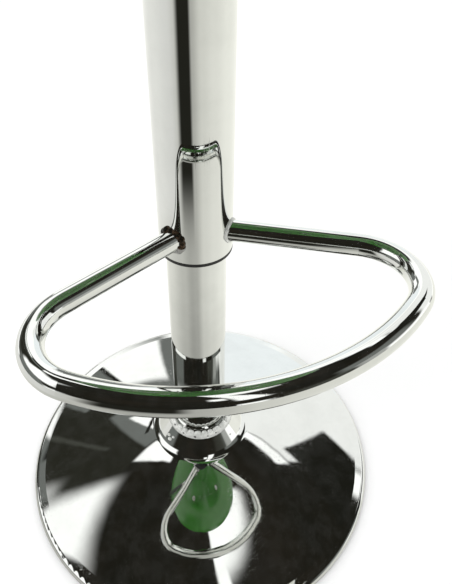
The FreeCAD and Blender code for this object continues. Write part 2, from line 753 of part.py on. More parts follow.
def make_lever():
    """The lever: a bent rod with an eye on the pin, a rounded tip and a grip."""
    item = new_body("lever_rod")
    high = s.lever_height
    low = s.lever_height - s.lever_drop
    slope = root(s.bend_run * s.bend_run + s.lever_drop * s.lever_drop)
    tangent = s.bend_radius * (slope - s.bend_run) / s.lever_drop
    level = tangent * s.bend_run / slope
    fall = tangent * s.lever_drop / slope
    bend_end = s.bend_start + s.bend_run
    tip = s.tip_radius / 2
    path = new_sketch(item, "XZ_Plane", "lever_path")
    route(path, [
        (tip, high),
        (tangent - s.bend_start, high, s.bend_radius),
        (-(s.bend_start + level), high - fall),
        (level - bend_end, low + fall, -s.bend_radius),
        (-(bend_end + tangent), low),
        (-s.lever_reach, low),
    ])
    section = new_sketch(item, "YZ_Plane", "lever_section", tip)
    circle(section, s.lever_diameter / 2, 0, high)
    pipe = item.newObject("PartDesign::AdditivePipe", "lever_pipe")
    pipe.Profile = section
    pipe.Spine = (path, ["Edge1", "Edge2", "Edge3", "Edge4", "Edge5"])
    eye = new_sketch(item, "XZ_Plane", "lever_eye")
    circle(eye, s.eye_diameter / 2, -s.pivot_reach, high)
    pad(item, eye, s.eye_width, True)
    nose = new_sketch(item, "XZ_Plane", "lever_nose")
    pin_top = s.cylinder_top + s.pin_rise
    circle(nose, s.tip_radius, 0, pin_top + s.tip_gap + s.tip_radius)
    pad(item, nose, s.tip_width, True)
    hole = new_sketch(item, "XZ_Plane", "lever_hole")
    circle(hole, s.pivot_diameter / 2 + s.running_gap, -s.pivot_reach, high)
    cut_through(item, hole)
    grip = new_body("lever_grip")
    shape = new_sketch(grip, "XZ_Plane", "grip_profile")
    bore = s.lever_diameter / 2 + s.contact_gap
    end = -(s.lever_reach + s.grip_wall)
    inner_end = s.grip_length - s.lever_reach
    round_end = s.grip_diameter / 4
    outline(shape, [
        (end, low),
        (-(s.lever_reach + s.contact_gap), low),
        (-(s.lever_reach + s.contact_gap), low + bore),
        (inner_end, low + bore),
        (inner_end, low + s.grip_neck / 2),
        (end + round_end, low + s.grip_diameter / 2, s.grip_diameter / 4),
        (end, low + s.grip_diameter / 4),
    ])
    axis = shape.addGeometry(Part.LineSegment(
        FreeCAD.Vector(end.value, low.value, 0), FreeCAD.Vector(inner_end.value, low.value, 0)), True)
    pin(shape, axis, 1, end, low)
    pin(shape, axis, 2, inner_end, low)
    revolve(grip, shape, "Axis0")


def seat_post(item, name, radius, low, length):
    """A round post at the first of the seat's four holes."""
    sketch = new_sketch(item, "XY_Plane", name, low)
    circle(sketch, radius, s.hole_spacing / 2, s.hole_spacing / 2)
    return pad(item, sketch, length)


def make_fasteners():
    """Four screws with washers, and the four barrel nuts in the seat board."""
    head_top = frame_low - s.washer_wall
    screw_radius = s.screw_diameter / 2
    screws = new_body("seat_screws", many=True)
    head = seat_post(screws, "screw_head", s.head_diameter / 2, head_top - s.head_height, s.head_height)
    shank = seat_post(screws, "screw_shank", screw_radius, head_top, s.screw_length)
    pattern(screws, [head, shank], SCREW_COUNT)
    bore = screw_radius + s.contact_gap
    washers = new_body("seat_washers", many=True)
    washer = new_sketch(washers, "XY_Plane", "washer_section", head_top)
    circle(washer, s.washer_diameter / 2, s.hole_spacing / 2, s.hole_spacing / 2)
    circle(washer, bore, s.hole_spacing / 2, s.hole_spacing / 2)
    pattern(washers, [pad(washers, washer, s.washer_wall)], SCREW_COUNT)
    nuts = new_body("seat_nuts", many=True)
    board_top = s.frame_height + s.pan_wall + s.board_wall
    barrel = new_sketch(nuts, "XY_Plane", "nut_barrel_section", board_top - s.nut_length)
    circle(barrel, s.nut_barrel / 2, s.hole_spacing / 2, s.hole_spacing / 2)
    circle(barrel, bore, s.hole_spacing / 2, s.hole_spacing / 2)
    flange = new_sketch(nuts, "XY_Plane", "nut_flange_section", board_top)
    circle(flange, s.nut_flange / 2, s.hole_spacing / 2, s.hole_spacing / 2)
    circle(flange, bore, s.hole_spacing / 2, s.hole_spacing / 2)
    pattern(nuts, [pad(nuts, barrel, s.nut_length), pad(nuts, flange, s.nut_flange_wall)], SCREW_COUNT)


def make_seat():
    """The seat: a dished pan, a board in it, the cushion and the piping round the cushion's edge."""
    seat_radius = s.seat_diameter / 2
    floor = s.frame_height
    rim = floor + s.pan_rise
    inner_floor = floor + s.pan_wall
    flat = board_radius + s.pan_margin
    pan = turned("seat_pan", [
        (0, floor),
        (flat, floor, s.pan_curve),
        (seat_radius, rim),
        (seat_radius - s.pan_wall, rim, -(s.pan_curve - s.pan_wall)),
        (flat, inner_floor),
        (0, inner_floor),
    ])
    drill_seat_holes(pan, s.screw_diameter / 2 + s.hole_play)
    board = ring_or_disc("seat_board", board_radius, inner_floor, inner_floor + s.board_wall)
    drill_seat_holes(board, s.nut_barrel / 2 + s.contact_gap)
    soft_low = inner_floor + s.board_wall + s.nut_flange_wall + s.soft_gap
    board_edge = board_radius + s.soft_gap
    rim_inner = seat_radius - s.pan_wall - s.soft_gap
    seam_low = rim + s.soft_gap
    seam_high = seam_low + s.cushion_side
    seam_radius = seat_radius - s.cushion_inset
    panel = s.panel_diameter / 2
    half_channel = s.channel_width / 2
    outer_top = seam_high + s.cushion_crown * (as_size(1) - CROWN_SHARE)
    panel_reach = panel - half_channel
    panel_rise = s.cushion_crown * CROWN_SHARE
    side_crown = (seam_radius * seam_radius) / (s.cushion_crown * 2)
    panel_crown = (panel_reach * panel_reach + panel_rise * panel_rise) / (panel_rise * 2)
    turned("seat_cushion", [
        (0, soft_low),
        (board_edge, soft_low),
        (board_edge, inner_floor + s.soft_gap),
        (flat, inner_floor + s.soft_gap, s.pan_curve - s.pan_wall - s.soft_gap),
        (rim_inner, seam_low, s.cushion_bulge),
        (seam_radius, seam_high, side_crown),
        (panel + half_channel, outer_top, s.channel_width),
        (panel, outer_top - s.channel_depth, s.channel_width),
        (panel_reach, outer_top, panel_crown),
        (0, seam_high + s.cushion_crown),
    ])
    cord = s.piping_diameter / 2
    piping = new_body("seat_piping")
    sketch = new_sketch(piping, "XZ_Plane", "piping_section")
    circle(sketch, cord, seam_radius + cord + s.soft_gap, seam_high)
    revolve(piping, sketch)


def ring_or_disc(label, outer, low, high):
    return turned(label, [(0, low), (outer, low), (outer, high), (0, high)])


def check_and_export():
    """Refuse a document with a failed object or a broken piece, then write every piece."""
    for thing in doc.Objects:
        if "Invalid" in thing.State or "Error" in thing.State:
            raise ValueError("%s failed" % thing.Name)
    for item in pieces:
        if item.Shape.isNull() or not item.Shape.isValid():
            raise ValueError("%s has no valid shape" % item.Label)
    os.makedirs("parts", exist_ok=True)
    for item in pieces:
        item.Shape.exportStep("parts/%s.step" % item.Label)
        print("%s: %d solids, %.0f mm3" % (item.Label, len(item.Shape.Solids), item.Shape.Volume))


make_foot()
make_column()
make_rod(make_bearing())
make_cylinder()
make_sleeve()
make_footrest()
make_weld("footrest_weld_left", -1)
make_weld("footrest_weld_right", 1)
make_seat_frame()
make_lever()
make_fasteners()
make_seat()
doc.recompute()
check_and_export()
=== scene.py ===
# %% [markdown]
# # A chromed bar stool on a gas lift
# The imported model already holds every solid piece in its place: foot, tube, sleeve, footrest, seat and
# lever. This lesson dresses it. Most of the stool is chrome, and chrome has hardly a colour of its own,
# so half of the work is what stands round the stool and shows in it.

# %% Load the model
import math
import random

import bmesh
import bpy
from mathutils import Matrix, Vector


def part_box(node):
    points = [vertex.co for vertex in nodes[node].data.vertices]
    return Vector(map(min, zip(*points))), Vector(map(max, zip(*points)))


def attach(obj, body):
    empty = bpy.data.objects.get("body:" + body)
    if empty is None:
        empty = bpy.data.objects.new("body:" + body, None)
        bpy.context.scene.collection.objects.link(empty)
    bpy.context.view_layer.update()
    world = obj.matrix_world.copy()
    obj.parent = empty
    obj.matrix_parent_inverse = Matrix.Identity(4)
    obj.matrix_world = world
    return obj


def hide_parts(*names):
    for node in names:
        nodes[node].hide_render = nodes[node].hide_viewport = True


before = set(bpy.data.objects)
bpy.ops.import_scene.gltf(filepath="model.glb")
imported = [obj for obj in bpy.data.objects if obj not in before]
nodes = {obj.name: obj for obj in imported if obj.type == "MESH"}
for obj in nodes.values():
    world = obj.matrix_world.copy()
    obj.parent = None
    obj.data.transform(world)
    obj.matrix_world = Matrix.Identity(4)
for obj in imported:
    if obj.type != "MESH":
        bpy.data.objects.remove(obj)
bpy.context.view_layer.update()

# %% [markdown]
# ## The camera
# The photograph looks down on the footrest from just below the seat's edge. The camera's place was found
# by fitting the outlines of the sleeve, tube, footrest and foot, and also the footrest's mirror image in
# the chrome sleeve: an image in a mirror is a second view of the same thing, and fixes the distance.

# %% Place the camera
CAMERA_PLACE = Vector((-0.1069, -0.4104, 0.6167))
CAMERA_RIGHT = Vector((0.9559, -0.2937, 0.0005))
CAMERA_UP = Vector((0.1689, 0.5510, 0.8173))
LENS_MM = 35.96
LENS_SHIFT = (0.0161, -0.1029)

lens = bpy.data.cameras.new("camera")
lens.lens = LENS_MM
lens.shift_x, lens.shift_y = LENS_SHIFT
lens.clip_start = 0.01
camera = bpy.data.objects.new("camera", lens)
camera_back = CAMERA_RIGHT.cross(CAMERA_UP)
camera_turn = Matrix((CAMERA_RIGHT, CAMERA_UP, camera_back)).transposed()
camera.rotation_euler = camera_turn.to_euler()
camera.location = CAMERA_PLACE
bpy.context.scene.collection.objects.link(camera)
bpy.context.scene.camera = camera
bpy.context.scene.view_settings.view_transform = "Standard"
print("the camera looks down by", round(math.degrees(math.asin(camera_back.z))), "degrees")

# %% [markdown]
# ## Nodes in few words
# A material is a small graph. This helper keeps the graphs readable: it adds a node with its settings,
# and gives a node's input either a value or another node's output. Sums that come up again and again,
# such as how far out from the upright axis a place lies, have a call of their own.

# %% Helper for shader graphs
class Graph:
    """A node tree with short calls for the nodes that this lesson uses."""

    def __init__(self, tree):
        self.tree = tree

    def feed(self, socket, value):
        """Join a socket to another node's output, or set a plain value on it."""
        if isinstance(value, bpy.types.NodeSocket):
            self.tree.links.new(value, socket)
        else:
            socket.default_value = value

    def feed_all(self, node, inputs):
        for name, value in dict(inputs).items():
            self.feed(node.inputs[name], value)
        return node

    def add(self, kind, inputs=(), **settings):
        node = self.tree.nodes.new(kind)
        for name, value in settings.items():
            setattr(node, name, value)
        return self.feed_all(node, inputs)

    def use(self, effect, inputs=()):
        """Put a shared effect into this graph and give back its outputs."""
        return self.add("ShaderNodeGroup", inputs, node_tree=effect).outputs

    def math(self, operation, first, second=0.0):
        return self.add("ShaderNodeMath", {0: first, 1: second}, operation=operation).outputs[0]

    def times(self, first, *others):
        """Multiply values. The product of masks is what all of them cover."""
        for other in others:
            first = self.math("MULTIPLY", first, other)
        return first

    def soft_step(self, value, low, high):
        """0 below low, 1 above high, smooth between. With low above high it falls instead."""
        node = self.add("ShaderNodeMapRange", {"Value": value, "From Min": low, "From Max": high},
                        interpolation_type="SMOOTHSTEP")
        return node.outputs[0]

    def within(self, value, low, high, soft):
        """1 where the value lies between low and high, with soft ends."""
        return self.times(self.soft_step(value, low - soft, low + soft),
                          self.soft_step(value, high + soft, high - soft))

    def spread(self, value, low, high):
        """Stretch a value from 0 to 1 over another range."""
        return self.add("ShaderNodeMapRange", {"Value": value, "To Min": low, "To Max": high}).outputs[0]

    def mix(self, share, first, second):
        node = self.add("ShaderNodeMix", {"Factor": share}, data_type="RGBA")
        self.feed(node.inputs[6], first)
        self.feed(node.inputs[7], second)
        return node.outputs[2]

    def place(self):
        return self.add("ShaderNodeTexCoord").outputs["Object"]

    def normal(self):
        return self.add("ShaderNodeNewGeometry").outputs["Normal"]

    def parts(self, vector):
        """A vector's x, y and z."""
        return self.add("ShaderNodeSeparateXYZ", {0: vector}).outputs

    def reach(self, parts):
        """How far from the upright axis a place lies, from its x and y."""
        squares = [self.times(part, part) for part in parts[:2]]
        return self.math("SQRT", self.math("ADD", *squares))

    def noise(self, place, scale, detail=3.0, roughness=0.5, stretch=(1.0, 1.0, 1.0), turn=(0.0, 0.0, 0.0)):
        """Soft cloudy values, turned and stretched along an axis if asked."""
        mapped = self.add("ShaderNodeMapping", {"Vector": place, "Rotation": turn, "Scale": stretch})
        return self.add("ShaderNodeTexNoise", {"Vector": mapped.outputs[0], "Scale": scale,
                                               "Detail": detail, "Roughness": roughness}).outputs["Fac"]

    def bump(self, height, depth, under=None):
        """Bend the normal as relief of this depth in metres would, on top of another relief if given."""
        node = self.add("ShaderNodeBump", {"Height": height, "Distance": depth})
        if under is not None:
            self.feed(node.inputs["Normal"], under)
        return node.outputs["Normal"]


def rgba(red, green, blue):
    return (red, green, blue, 1.0)


def grey(level):
    return rgba(level, level, level)


# %% [markdown]
# ## The studio
# A chromed thing is lit by what it mirrors. The real one stood on white paper, between white cloths at
# the back and sides, and the dark room showed from above and from behind the camera. One big lamp could
# not give those dark and light bands, so the surroundings are painted as a sky: plain and white for soft
# light, and a room with pale and dark fields for what the chrome mirrors. Each field has a left and a
# right turn, a lower and an upper rise, a lean, a softness and a paint. Turn 0 looks away from the
# camera and left is negative. A field leans like a cloth that is hung askew: the lean is how many degrees
# it turns for each degree of rise above the skyline. A later field covers the ones before it.

# %% Paint the room that the chrome mirrors
SOFT_LIGHT = rgba(1.06, 1.06, 1.06)
DARK_ROOM = rgba(0.012, 0.012, 0.009)
WARM_ROOM = rgba(0.020, 0.017, 0.012)
WHITE_CLOTH = rgba(1.25, 1.26, 1.24)
GREY_CLOTH = rgba(0.17, 0.18, 0.17)
BLUE_CLOTH = rgba(1.00, 1.05, 1.07)
SHADED_CLOTH = rgba(1.02, 1.03, 1.01)
DIM_WALL = rgba(0.060, 0.062, 0.052)
PALE_WALL = rgba(0.42, 0.43, 0.41)
OLIVE_WALL = rgba(0.024, 0.024, 0.018)

# Left and right turn, lower and upper rise, lean, softness and paint. All but the lean are in degrees.
ROOM_FIELDS = (
    # the cloths behind the stool, with gaps between them
    (-54, 84, -95, 4, 0, 3, WHITE_CLOTH),
    (-56, -14, 17, 53.5, 0, 1, OLIVE_WALL),
    (-90, -18, 4, 17, 0, 4, DIM_WALL),
    (-13, 56, 2, 51, 0, 2, WHITE_CLOTH),
    (46, 103, 2, 42, -0.45, 2, SHADED_CLOTH),
    (42, 73, 38, 49, 0, 0.8, SHADED_CLOTH),
    (44, 74, 49.5, 53.5, 0, 0.8, WHITE_CLOTH),
    (54, 84, 31, 46.5, 0.28, 0.8, DARK_ROOM),
    (12, 46, 2, 31, 0, 1.5, BLUE_CLOTH),
    (6, 14, 3, 24, -0.15, 0.8, GREY_CLOTH),
    (-10, 8, 21, 30, 0, 1.5, GREY_CLOTH),
    (-24, -10.5, 2, 24, 0, 0.6, GREY_CLOTH),
    (-11, -9.8, 9, 20, 0, 0.4, DARK_ROOM),
    (-7.5, 0, 31, 52.5, -0.5, 0.8, GREY_CLOTH),
    (-12, -5, 35, 46, -0.25, 0.6, WHITE_CLOTH),
    (35.6, 37, 37, 46, -1.36, 0.4, DARK_ROOM),
    (-32.4, -31, 24, 42, -0.09, 0.6, DIM_WALL),
    (-41, -26, 53.5, 69, 0, 0.8, WHITE_CLOTH),
    # the cloth on the left
    (-118, -62, 19, 36, 0.35, 4, WHITE_CLOTH),
    (-118, -68, 32, 53, 0.35, 4, WHITE_CLOTH),
    (-118, -96, -95, 2, 0.35, 4, SHADED_CLOTH),
    (-100, -56, -95, 18, 0.35, 5, GREY_CLOTH),
    # the wall on the right
    (106, 142, 8, 34, -0.2, 4, GREY_CLOTH),
    (90, 122, -95, 9, 0, 5, WHITE_CLOTH),
    (119, 134, -10, 15, 0, 2, PALE_WALL),
    (134, 160, -95, 14, 0, 6, DIM_WALL),
    # a narrow window behind the camera, and the ceiling
    (165, 178, 30, 80, 0, 2, WHITE_CLOTH),
    (168, 180, -95, 4, 0, 3, WHITE_CLOTH),
    (-180, -172, 45, 58, 0, 2, WHITE_CLOTH),
    (90, 178, 74, 95, 0, 3, WHITE_CLOTH),
)


def make_room():
    world = bpy.data.worlds.new("studio")
    world.use_nodes = True
    bpy.context.scene.world = world
    room = Graph(world.node_tree)
    way = room.add("ShaderNodeTexCoord").outputs["Generated"]
    parts = room.parts(way)
    around = room.times(room.math("ARCTAN2", parts[0], parts[1]), math.degrees(1))
    rise = room.times(room.math("ARCSINE", parts[2]), math.degrees(1))
    clutter = room.noise(way, scale=2.5, detail=4.0)
    colour = room.mix(room.soft_step(clutter, 0.3, 0.8), DARK_ROOM, WARM_ROOM)
    for left, right, low, high, lean, soft, paint in ROOM_FIELDS:
        side = room.math("SUBTRACT", around, room.times(rise, lean)) if lean else around
        mask = room.times(room.within(side, left, right, soft), room.within(rise, low, high, soft))
        colour = room.mix(mask, colour, paint)
    paths = room.add("ShaderNodeLightPath")
    colour = room.mix(paths.outputs["Is Glossy Ray"], SOFT_LIGHT, colour)
    room.feed(world.node_tree.nodes["Background"].inputs["Color"], colour)
    print("the room has", len(world.node_tree.nodes), "nodes")


make_room()

# %% [markdown]
# ## The floor
# The floor is white paper, and the camera sees it plain and white. In the chrome it shows painted light and
# shade, which only mirrored rays see here: palest behind and on the right, greyest in front on the left,
# paler again far out on the left, a painted shadow close to the foot, and a black wedge on the front left.
# A lamp as large as a window adds one soft shadow, and is left out of the mirrors.

# %% Lay the floor and hang the lamp
FLOOR_REACH = 4.0
FRESH_PAPER = grey(0.97)
PAPER_FIBRE = grey(0.94)
# Painted shade for the mirrors: where round the stool, as a share of a full turn from the back over the left,
# and how bright.
PAINTED_FLOOR_SHADES = ((0.0, 1.02), (0.14, 0.80), (0.33, 0.57), (0.41, 0.44), (0.455, 0.47), (0.53, 0.74),
                (0.62, 0.84), (0.75, 0.96), (0.88, 1.04))
FLOOR_WARMTH = 0.93
# The black wedge's turns: it starts, is full, begins to fade and ends. Degrees from the front, left negative.
DARK_WEDGE_TURNS = (-58, -45, -22, -14)
DARK_WEDGE_REACH = (0.42, 0.74)
DARK_WEDGE_BLACK = rgba(0.018, 0.018, 0.014)
# A painted shadow of the stool close to its foot, seen only in the chrome.
FOOT_SHADE_REACH = (0.36, 0.18)
FOOT_SHADE = 0.12
# Painted light: far out on the left the floor is made paler in the chrome.
FAR_LEFT_REACH = (0.38, 0.62)
FAR_LEFT_TURNS = (-45, -75)
FAR_LEFT_PAINTED_LIGHT = 0.4


def painted_floor_shade(graph, place):
    """The colour that the chrome mirrors at each place of the floor: painted light and shade over white."""
    parts = graph.parts(place)
    reach = graph.reach(parts)
    from_front = graph.math("ARCTAN2", parts[0], graph.times(parts[1], -1.0))
    turned = graph.times(from_front, math.degrees(1))
    share = graph.math("ADD", graph.math("DIVIDE", from_front, math.tau), 0.5)
    # Painted shade that changes round the stool.
    ramp = graph.add("ShaderNodeValToRGB", {0: share})
    ramp.color_ramp.interpolation = "EASE"
    stops = ramp.color_ramp.elements
    for number, (where, level) in enumerate(PAINTED_FLOOR_SHADES):
        stop = stops[number] if number < 2 else stops.new(where)
        stop.position = where
        stop.color = rgba(level, level, level * FLOOR_WARMTH)
    # Painted light far out on the left.
    far_left_painted_light = graph.times(graph.soft_step(reach, *FAR_LEFT_REACH), graph.soft_step(turned, *FAR_LEFT_TURNS))
    shade = graph.mix(graph.times(far_left_painted_light, FAR_LEFT_PAINTED_LIGHT), ramp.outputs[0], grey(1.0))
    # Painted shadow close to the foot.
    near = graph.times(graph.soft_step(reach, *FOOT_SHADE_REACH), FOOT_SHADE)
    shade = graph.mix(near, shade, grey(0.0))
    # A black wedge painted into the floor's mirrored colour on the front left.
    starts, full, fades, ends = DARK_WEDGE_TURNS
    dark_wedge = graph.times(graph.soft_step(turned, starts, full), graph.soft_step(turned, ends, fades),
                            graph.soft_step(reach, *DARK_WEDGE_REACH))
    return graph.mix(dark_wedge, shade, DARK_WEDGE_BLACK)


def make_floor():
    mesh = bpy.data.meshes.new("paper_floor")
    sheet = bmesh.new()
    bmesh.ops.create_grid(sheet, x_segments=1, y_segments=1, size=FLOOR_REACH)
    sheet.to_mesh(mesh)
    sheet.free()
    floor = bpy.data.objects.new("paper_floor", mesh)
    bpy.context.scene.collection.objects.link(floor)
    material = bpy.data.materials.new("white paper")
    material.use_nodes = True
    graph = Graph(material.node_tree)
    place = graph.place()
    fibres = graph.noise(place, scale=900.0, detail=2.0)
    paper = graph.feed_all(material.node_tree.nodes["Principled BSDF"], {
        "Base Color": graph.mix(fibres, PAPER_FIBRE, FRESH_PAPER),
        "Roughness": 0.9,
        "Specular IOR Level": 0.1,
        "Normal": graph.bump(fibres, depth=0.0001),
    })
    mirrored = graph.add("ShaderNodeEmission", {"Color": painted_floor_shade(graph, place)})
    paths = graph.add("ShaderNodeLightPath")
    both = graph.add("ShaderNodeMixShader", {0: paths.outputs["Is Glossy Ray"], 1: paper.outputs[0],
                                             2: mirrored.outputs[0]})
    graph.feed(material.node_tree.nodes["Material Output"].inputs["Surface"], both.outputs[0])
    mesh.materials.append(material)


def hang_lamp(name, place, aim, size, watts):
    lamp = bpy.data.lights.new(name, "AREA")
    lamp.shape = "SQUARE"
    lamp.size = size
    lamp.energy = watts
    thing = bpy.data.objects.new(name, lamp)
    thing.location = place
    thing.rotation_euler = (Vector(aim) - Vector(place)).to_track_quat("-Z", "Y").to_euler()
    thing.visible_glossy = False
    bpy.context.scene.collection.objects.link(thing)


make_floor()
hang_lamp("window_light", place=(-1.4, -0.6, 2.2), aim=(0.0, 0.0, 0.3), size=1.6, watts=16.0)
print("the floor is", 2 * FLOOR_REACH, "m wide")

# %% [markdown]
# ## Effects that many materials share
# Every real surface has hair-fine scratches where it was wiped, a haze where hands touched it, dust on
# what faces up, and edges that wore first. Each effect is made once as a node group with named inputs
# and outputs, and each material takes as much of it as its piece would have.

# %% Shared effects
# For each way of wiping: how it slants, and above which noise level a strand shows as a scratch.
WIPED_WAYS = ((0.35, 0.66), (-0.6, 0.69))
STRAND_STRETCH = (1.0, 1.0, 0.012)
# An edge is worn where its rounded normal is less like the true one than this: in heavy and in light wear.
WORN_EDGE = (0.995, 0.93)


def begin_effect(name, inputs, outputs):
    """An empty node group. An input with no value to start from is a place or another vector."""
    tree = bpy.data.node_groups.new(name, "ShaderNodeTree")
    for label, value in inputs.items():
        kind = "NodeSocketVector" if value is None else "NodeSocketFloat"
        socket = tree.interface.new_socket(label, in_out="INPUT", socket_type=kind)
        if value is not None:
            socket.default_value = value
    for label in outputs:
        tree.interface.new_socket(label, in_out="OUTPUT", socket_type="NodeSocketFloat")
    graph = Graph(tree)
    return graph, graph.add("NodeGroupInput").outputs, graph.add("NodeGroupOutput").inputs


def make_hair_scratches():
    """Fine lines from wiping: noise drawn out long in two slanting ways, and only its peaks kept."""
    graph, given, result = begin_effect("hair scratches", {"Place": None, "Scale": 900.0, "Amount": 0.5},
                                        ("Mask", "Height"))
    lines = None
    for slant, level in WIPED_WAYS:
        strands = graph.noise(given["Place"], given["Scale"], detail=1.0, roughness=0.4,
                              stretch=STRAND_STRETCH, turn=(slant, slant / 2, 0))
        kept = graph.soft_step(strands, level, level + 0.05)
        lines = kept if lines is None else graph.math("MAXIMUM", lines, kept)
    wiped = graph.soft_step(graph.noise(given["Place"], scale=14.0), 0.42, 0.62)
    mask = graph.times(lines, wiped, given["Amount"])
    graph.feed(result["Mask"], mask)
    graph.feed(result["Height"], graph.times(mask, -1.0))
    return graph.tree


def make_handled_haze():
    """Cloudy film from hands and polish, as a mask and as a roughness between two levels."""
    graph, given, result = begin_effect("handled haze", {"Place": None, "Scale": 22.0, "Low": 0.1, "High": 0.3},
                                        ("Mask", "Roughness"))
    film = graph.noise(given["Place"], given["Scale"], detail=5.0, roughness=0.62)
    mask = graph.soft_step(film, 0.35, 0.72)
    graph.feed(result["Mask"], mask)
    graph.feed(result["Roughness"], graph.spread(mask, given["Low"], given["High"]))
    return graph.tree


def make_settled_dust():
    """Dust lies on what faces up, in patches."""
    graph, given, result = begin_effect("settled dust", {"Place": None, "Amount": 0.3}, ("Mask",))
    facing_up = graph.soft_step(graph.parts(graph.normal())[2], 0.2, 0.9)
    clouds = graph.noise(given["Place"], scale=60.0, detail=6.0, roughness=0.7)
    patches = graph.soft_step(clouds, 0.38, 0.66)
    graph.feed(result["Mask"], graph.times(facing_up, patches, given["Amount"]))
    return graph.tree


def make_worn_edges():
    """Edges stand out where the surface turns within a small radius. Noise breaks the wear up."""
    graph, given, result = begin_effect("worn edges", {"Place": None, "Radius": 0.0006, "Amount": 0.7},
                                        ("Mask",))
    rounded = graph.add("ShaderNodeBevel", {"Radius": given["Radius"]}, samples=4).outputs[0]
    alike = graph.add("ShaderNodeVectorMath", {0: rounded, 1: graph.normal()}, operation="DOT_PRODUCT")
    broken = graph.spread(graph.noise(given["Place"], scale=180.0, detail=4.0), *WORN_EDGE)
    turned = graph.math("GREATER_THAN", broken, alike.outputs["Value"])
    graph.feed(result["Mask"], graph.times(turned, given["Amount"]))
    return graph.tree


hair_scratches = make_hair_scratches()
handled_haze = make_handled_haze()
settled_dust = make_settled_dust()
worn_edges = make_worn_edges()
print("marks of use:", [group.name for group in bpy.data.node_groups])

# %% [markdown]
# Three more effects come from how a thing is made. Sprayed paint dries with small dimples, a lathe leaves
# rings, and cloth is woven. Photographs of them could be laid on instead, but a drawn pattern keeps its
# size on every piece and shows no seam.

# %% Patterns from making
def make_orange_peel():
    """The small dimples that sprayed or poured paint dries with."""
    graph, given, result = begin_effect("orange peel", {"Place": None, "Scale": 420.0}, ("Height",))
    fine = graph.noise(given["Place"], given["Scale"], detail=2.0, roughness=0.35)
    broad = graph.noise(given["Place"], graph.times(given["Scale"], 0.22), detail=1.0)
    graph.feed(result["Height"], graph.math("ADD", fine, broad))
    return graph.tree


def make_turned_lines():
    """Rings that a lathe leaves: they change with the radius and the height, but not round the column."""
    graph, given, result = begin_effect("turned lines", {"Place": None, "Scale": 1400.0}, ("Height", "Mask"))
    parts = graph.parts(given["Place"])
    flat = graph.add("ShaderNodeCombineXYZ", {0: graph.reach(parts), 2: parts[2]}).outputs[0]
    lines = graph.noise(flat, given["Scale"], roughness=0.6)
    graph.feed(result["Height"], lines)
    graph.feed(result["Mask"], graph.soft_step(lines, 0.4, 0.6))
    return graph.tree


def make_plain_weave():
    """Threads that go over and under each other, with painted shade where a thread dips. Thread is a map in
    metres along the cloth.
    """
    graph, given, result = begin_effect("plain weave", {"Thread": None, "Pitch": 0.0015}, ("Height", "Shade"))
    wobble = graph.noise(given["Thread"], scale=60.0, detail=2.0)
    waves = []
    for part in graph.parts(given["Thread"])[:2]:
        turned = graph.math("ADD", graph.math("DIVIDE", graph.times(part, math.pi), given["Pitch"]), wobble)
        waves.append(graph.math("SINE", turned))
    weft, warp = waves
    over = graph.soft_step(graph.times(weft, warp), -0.25, 0.25)
    weft_height, warp_height = [graph.math("ABSOLUTE", wave) for wave in waves]
    lower = graph.times(weft_height, graph.math("SUBTRACT", 1.0, over))
    height = graph.math("ADD", graph.times(warp_height, over), lower)
    thick = graph.noise(given["Thread"], scale=700.0, roughness=0.7, stretch=(1.0, 0.12, 1.0))
    graph.feed(result["Height"], height)
    # Shade is painted shade where a thread dips, times a tone that changes with each thread's thickness.
    graph.feed(result["Shade"], graph.times(graph.spread(height, 0.45, 1.0), graph.spread(thick, 0.75, 1.2)))
    return graph.tree


orange_peel = make_orange_peel()
turned_lines = make_turned_lines()
plain_weave = make_plain_weave()
print("shared effects:", [group.name for group in bpy.data.node_groups])

# %% [markdown]
# ## Chrome and weld metal
# Chrome plate is a mirror with a slight warm grey tint. Real plate is never flat: the tube under it is
# faintly wavy, cleaning leaves hair-fine scratches and hands leave a haze. All of it is kept small, or the
# mirror breaks up. The welds are plated with the tubes, but their skin is coarse. Two values that each
# bead carries tell the material where a pit gets painted shade and where the heat burnt the plate brown.

# %% Chrome plate and weld metal
CLEAR_PLATE, HAZY_PLATE = rgba(0.83, 0.84, 0.82), rgba(0.78, 0.79, 0.77)
PALE_WELD, GREY_WELD = rgba(0.86, 0.87, 0.84), rgba(0.66, 0.67, 0.64)
BURNT_BROWN, BURNT_BLACK = rgba(0.066, 0.040, 0.022), rgba(0.008, 0.007, 0.004)


class Finish(Graph):
    """A new material, with the shared effects at its piece's own places."""

    def __init__(self, name):
        self.material = bpy.data.materials.new(name)
        self.material.use_nodes = True
        super().__init__(self.material.node_tree)
        self.spot = self.place()

    def cloud(self, scale, **settings):
        return self.noise(self.spot, scale, **settings)

    def haze(self, scale, low, high):
        haze = self.use(handled_haze, {"Place": self.spot, "Scale": scale, "Low": low, "High": high})
        return haze["Mask"], haze["Roughness"]

    def scratches(self, scale, amount):
        scratches = self.use(hair_scratches, {"Place": self.spot, "Scale": scale, "Amount": amount})
        return scratches["Mask"], scratches["Height"]

    def dust(self, amount):
        return self.use(settled_dust, {"Place": self.spot, "Amount": amount})["Mask"]

    def worn(self, radius, amount):
        return self.use(worn_edges, {"Place": self.spot, "Radius": radius, "Amount": amount})["Mask"]

    def finish(self, colour, roughness, relief, others=()):
        """Feed the shader, and give the finished material back."""
        shader = self.tree.nodes["Principled BSDF"]
        self.feed_all(shader, {"Base Color": colour, "Roughness": roughness, "Normal": relief})
        self.feed_all(shader, others)
        return self.material


def make_chrome():
    plate = Finish("chrome plate")
    film, roughness = plate.haze(scale=24.0, low=0.008, high=0.045)
    scratched, scratch_relief = plate.scratches(scale=800.0, amount=0.6)
    dusty = plate.dust(0.010)
    colour = plate.mix(dusty, plate.mix(film, CLEAR_PLATE, HAZY_PLATE), grey(0.62))
    waves = plate.bump(plate.cloud(scale=11.0, detail=2.0), depth=0.00012)
    relief = plate.bump(scratch_relief, depth=0.000006, under=waves)
    roughness = plate.math("ADD", roughness, plate.times(scratched, 0.18))
    return plate.finish(colour, roughness, relief, {"Metallic": plate.math("SUBTRACT", 1.0, dusty)})


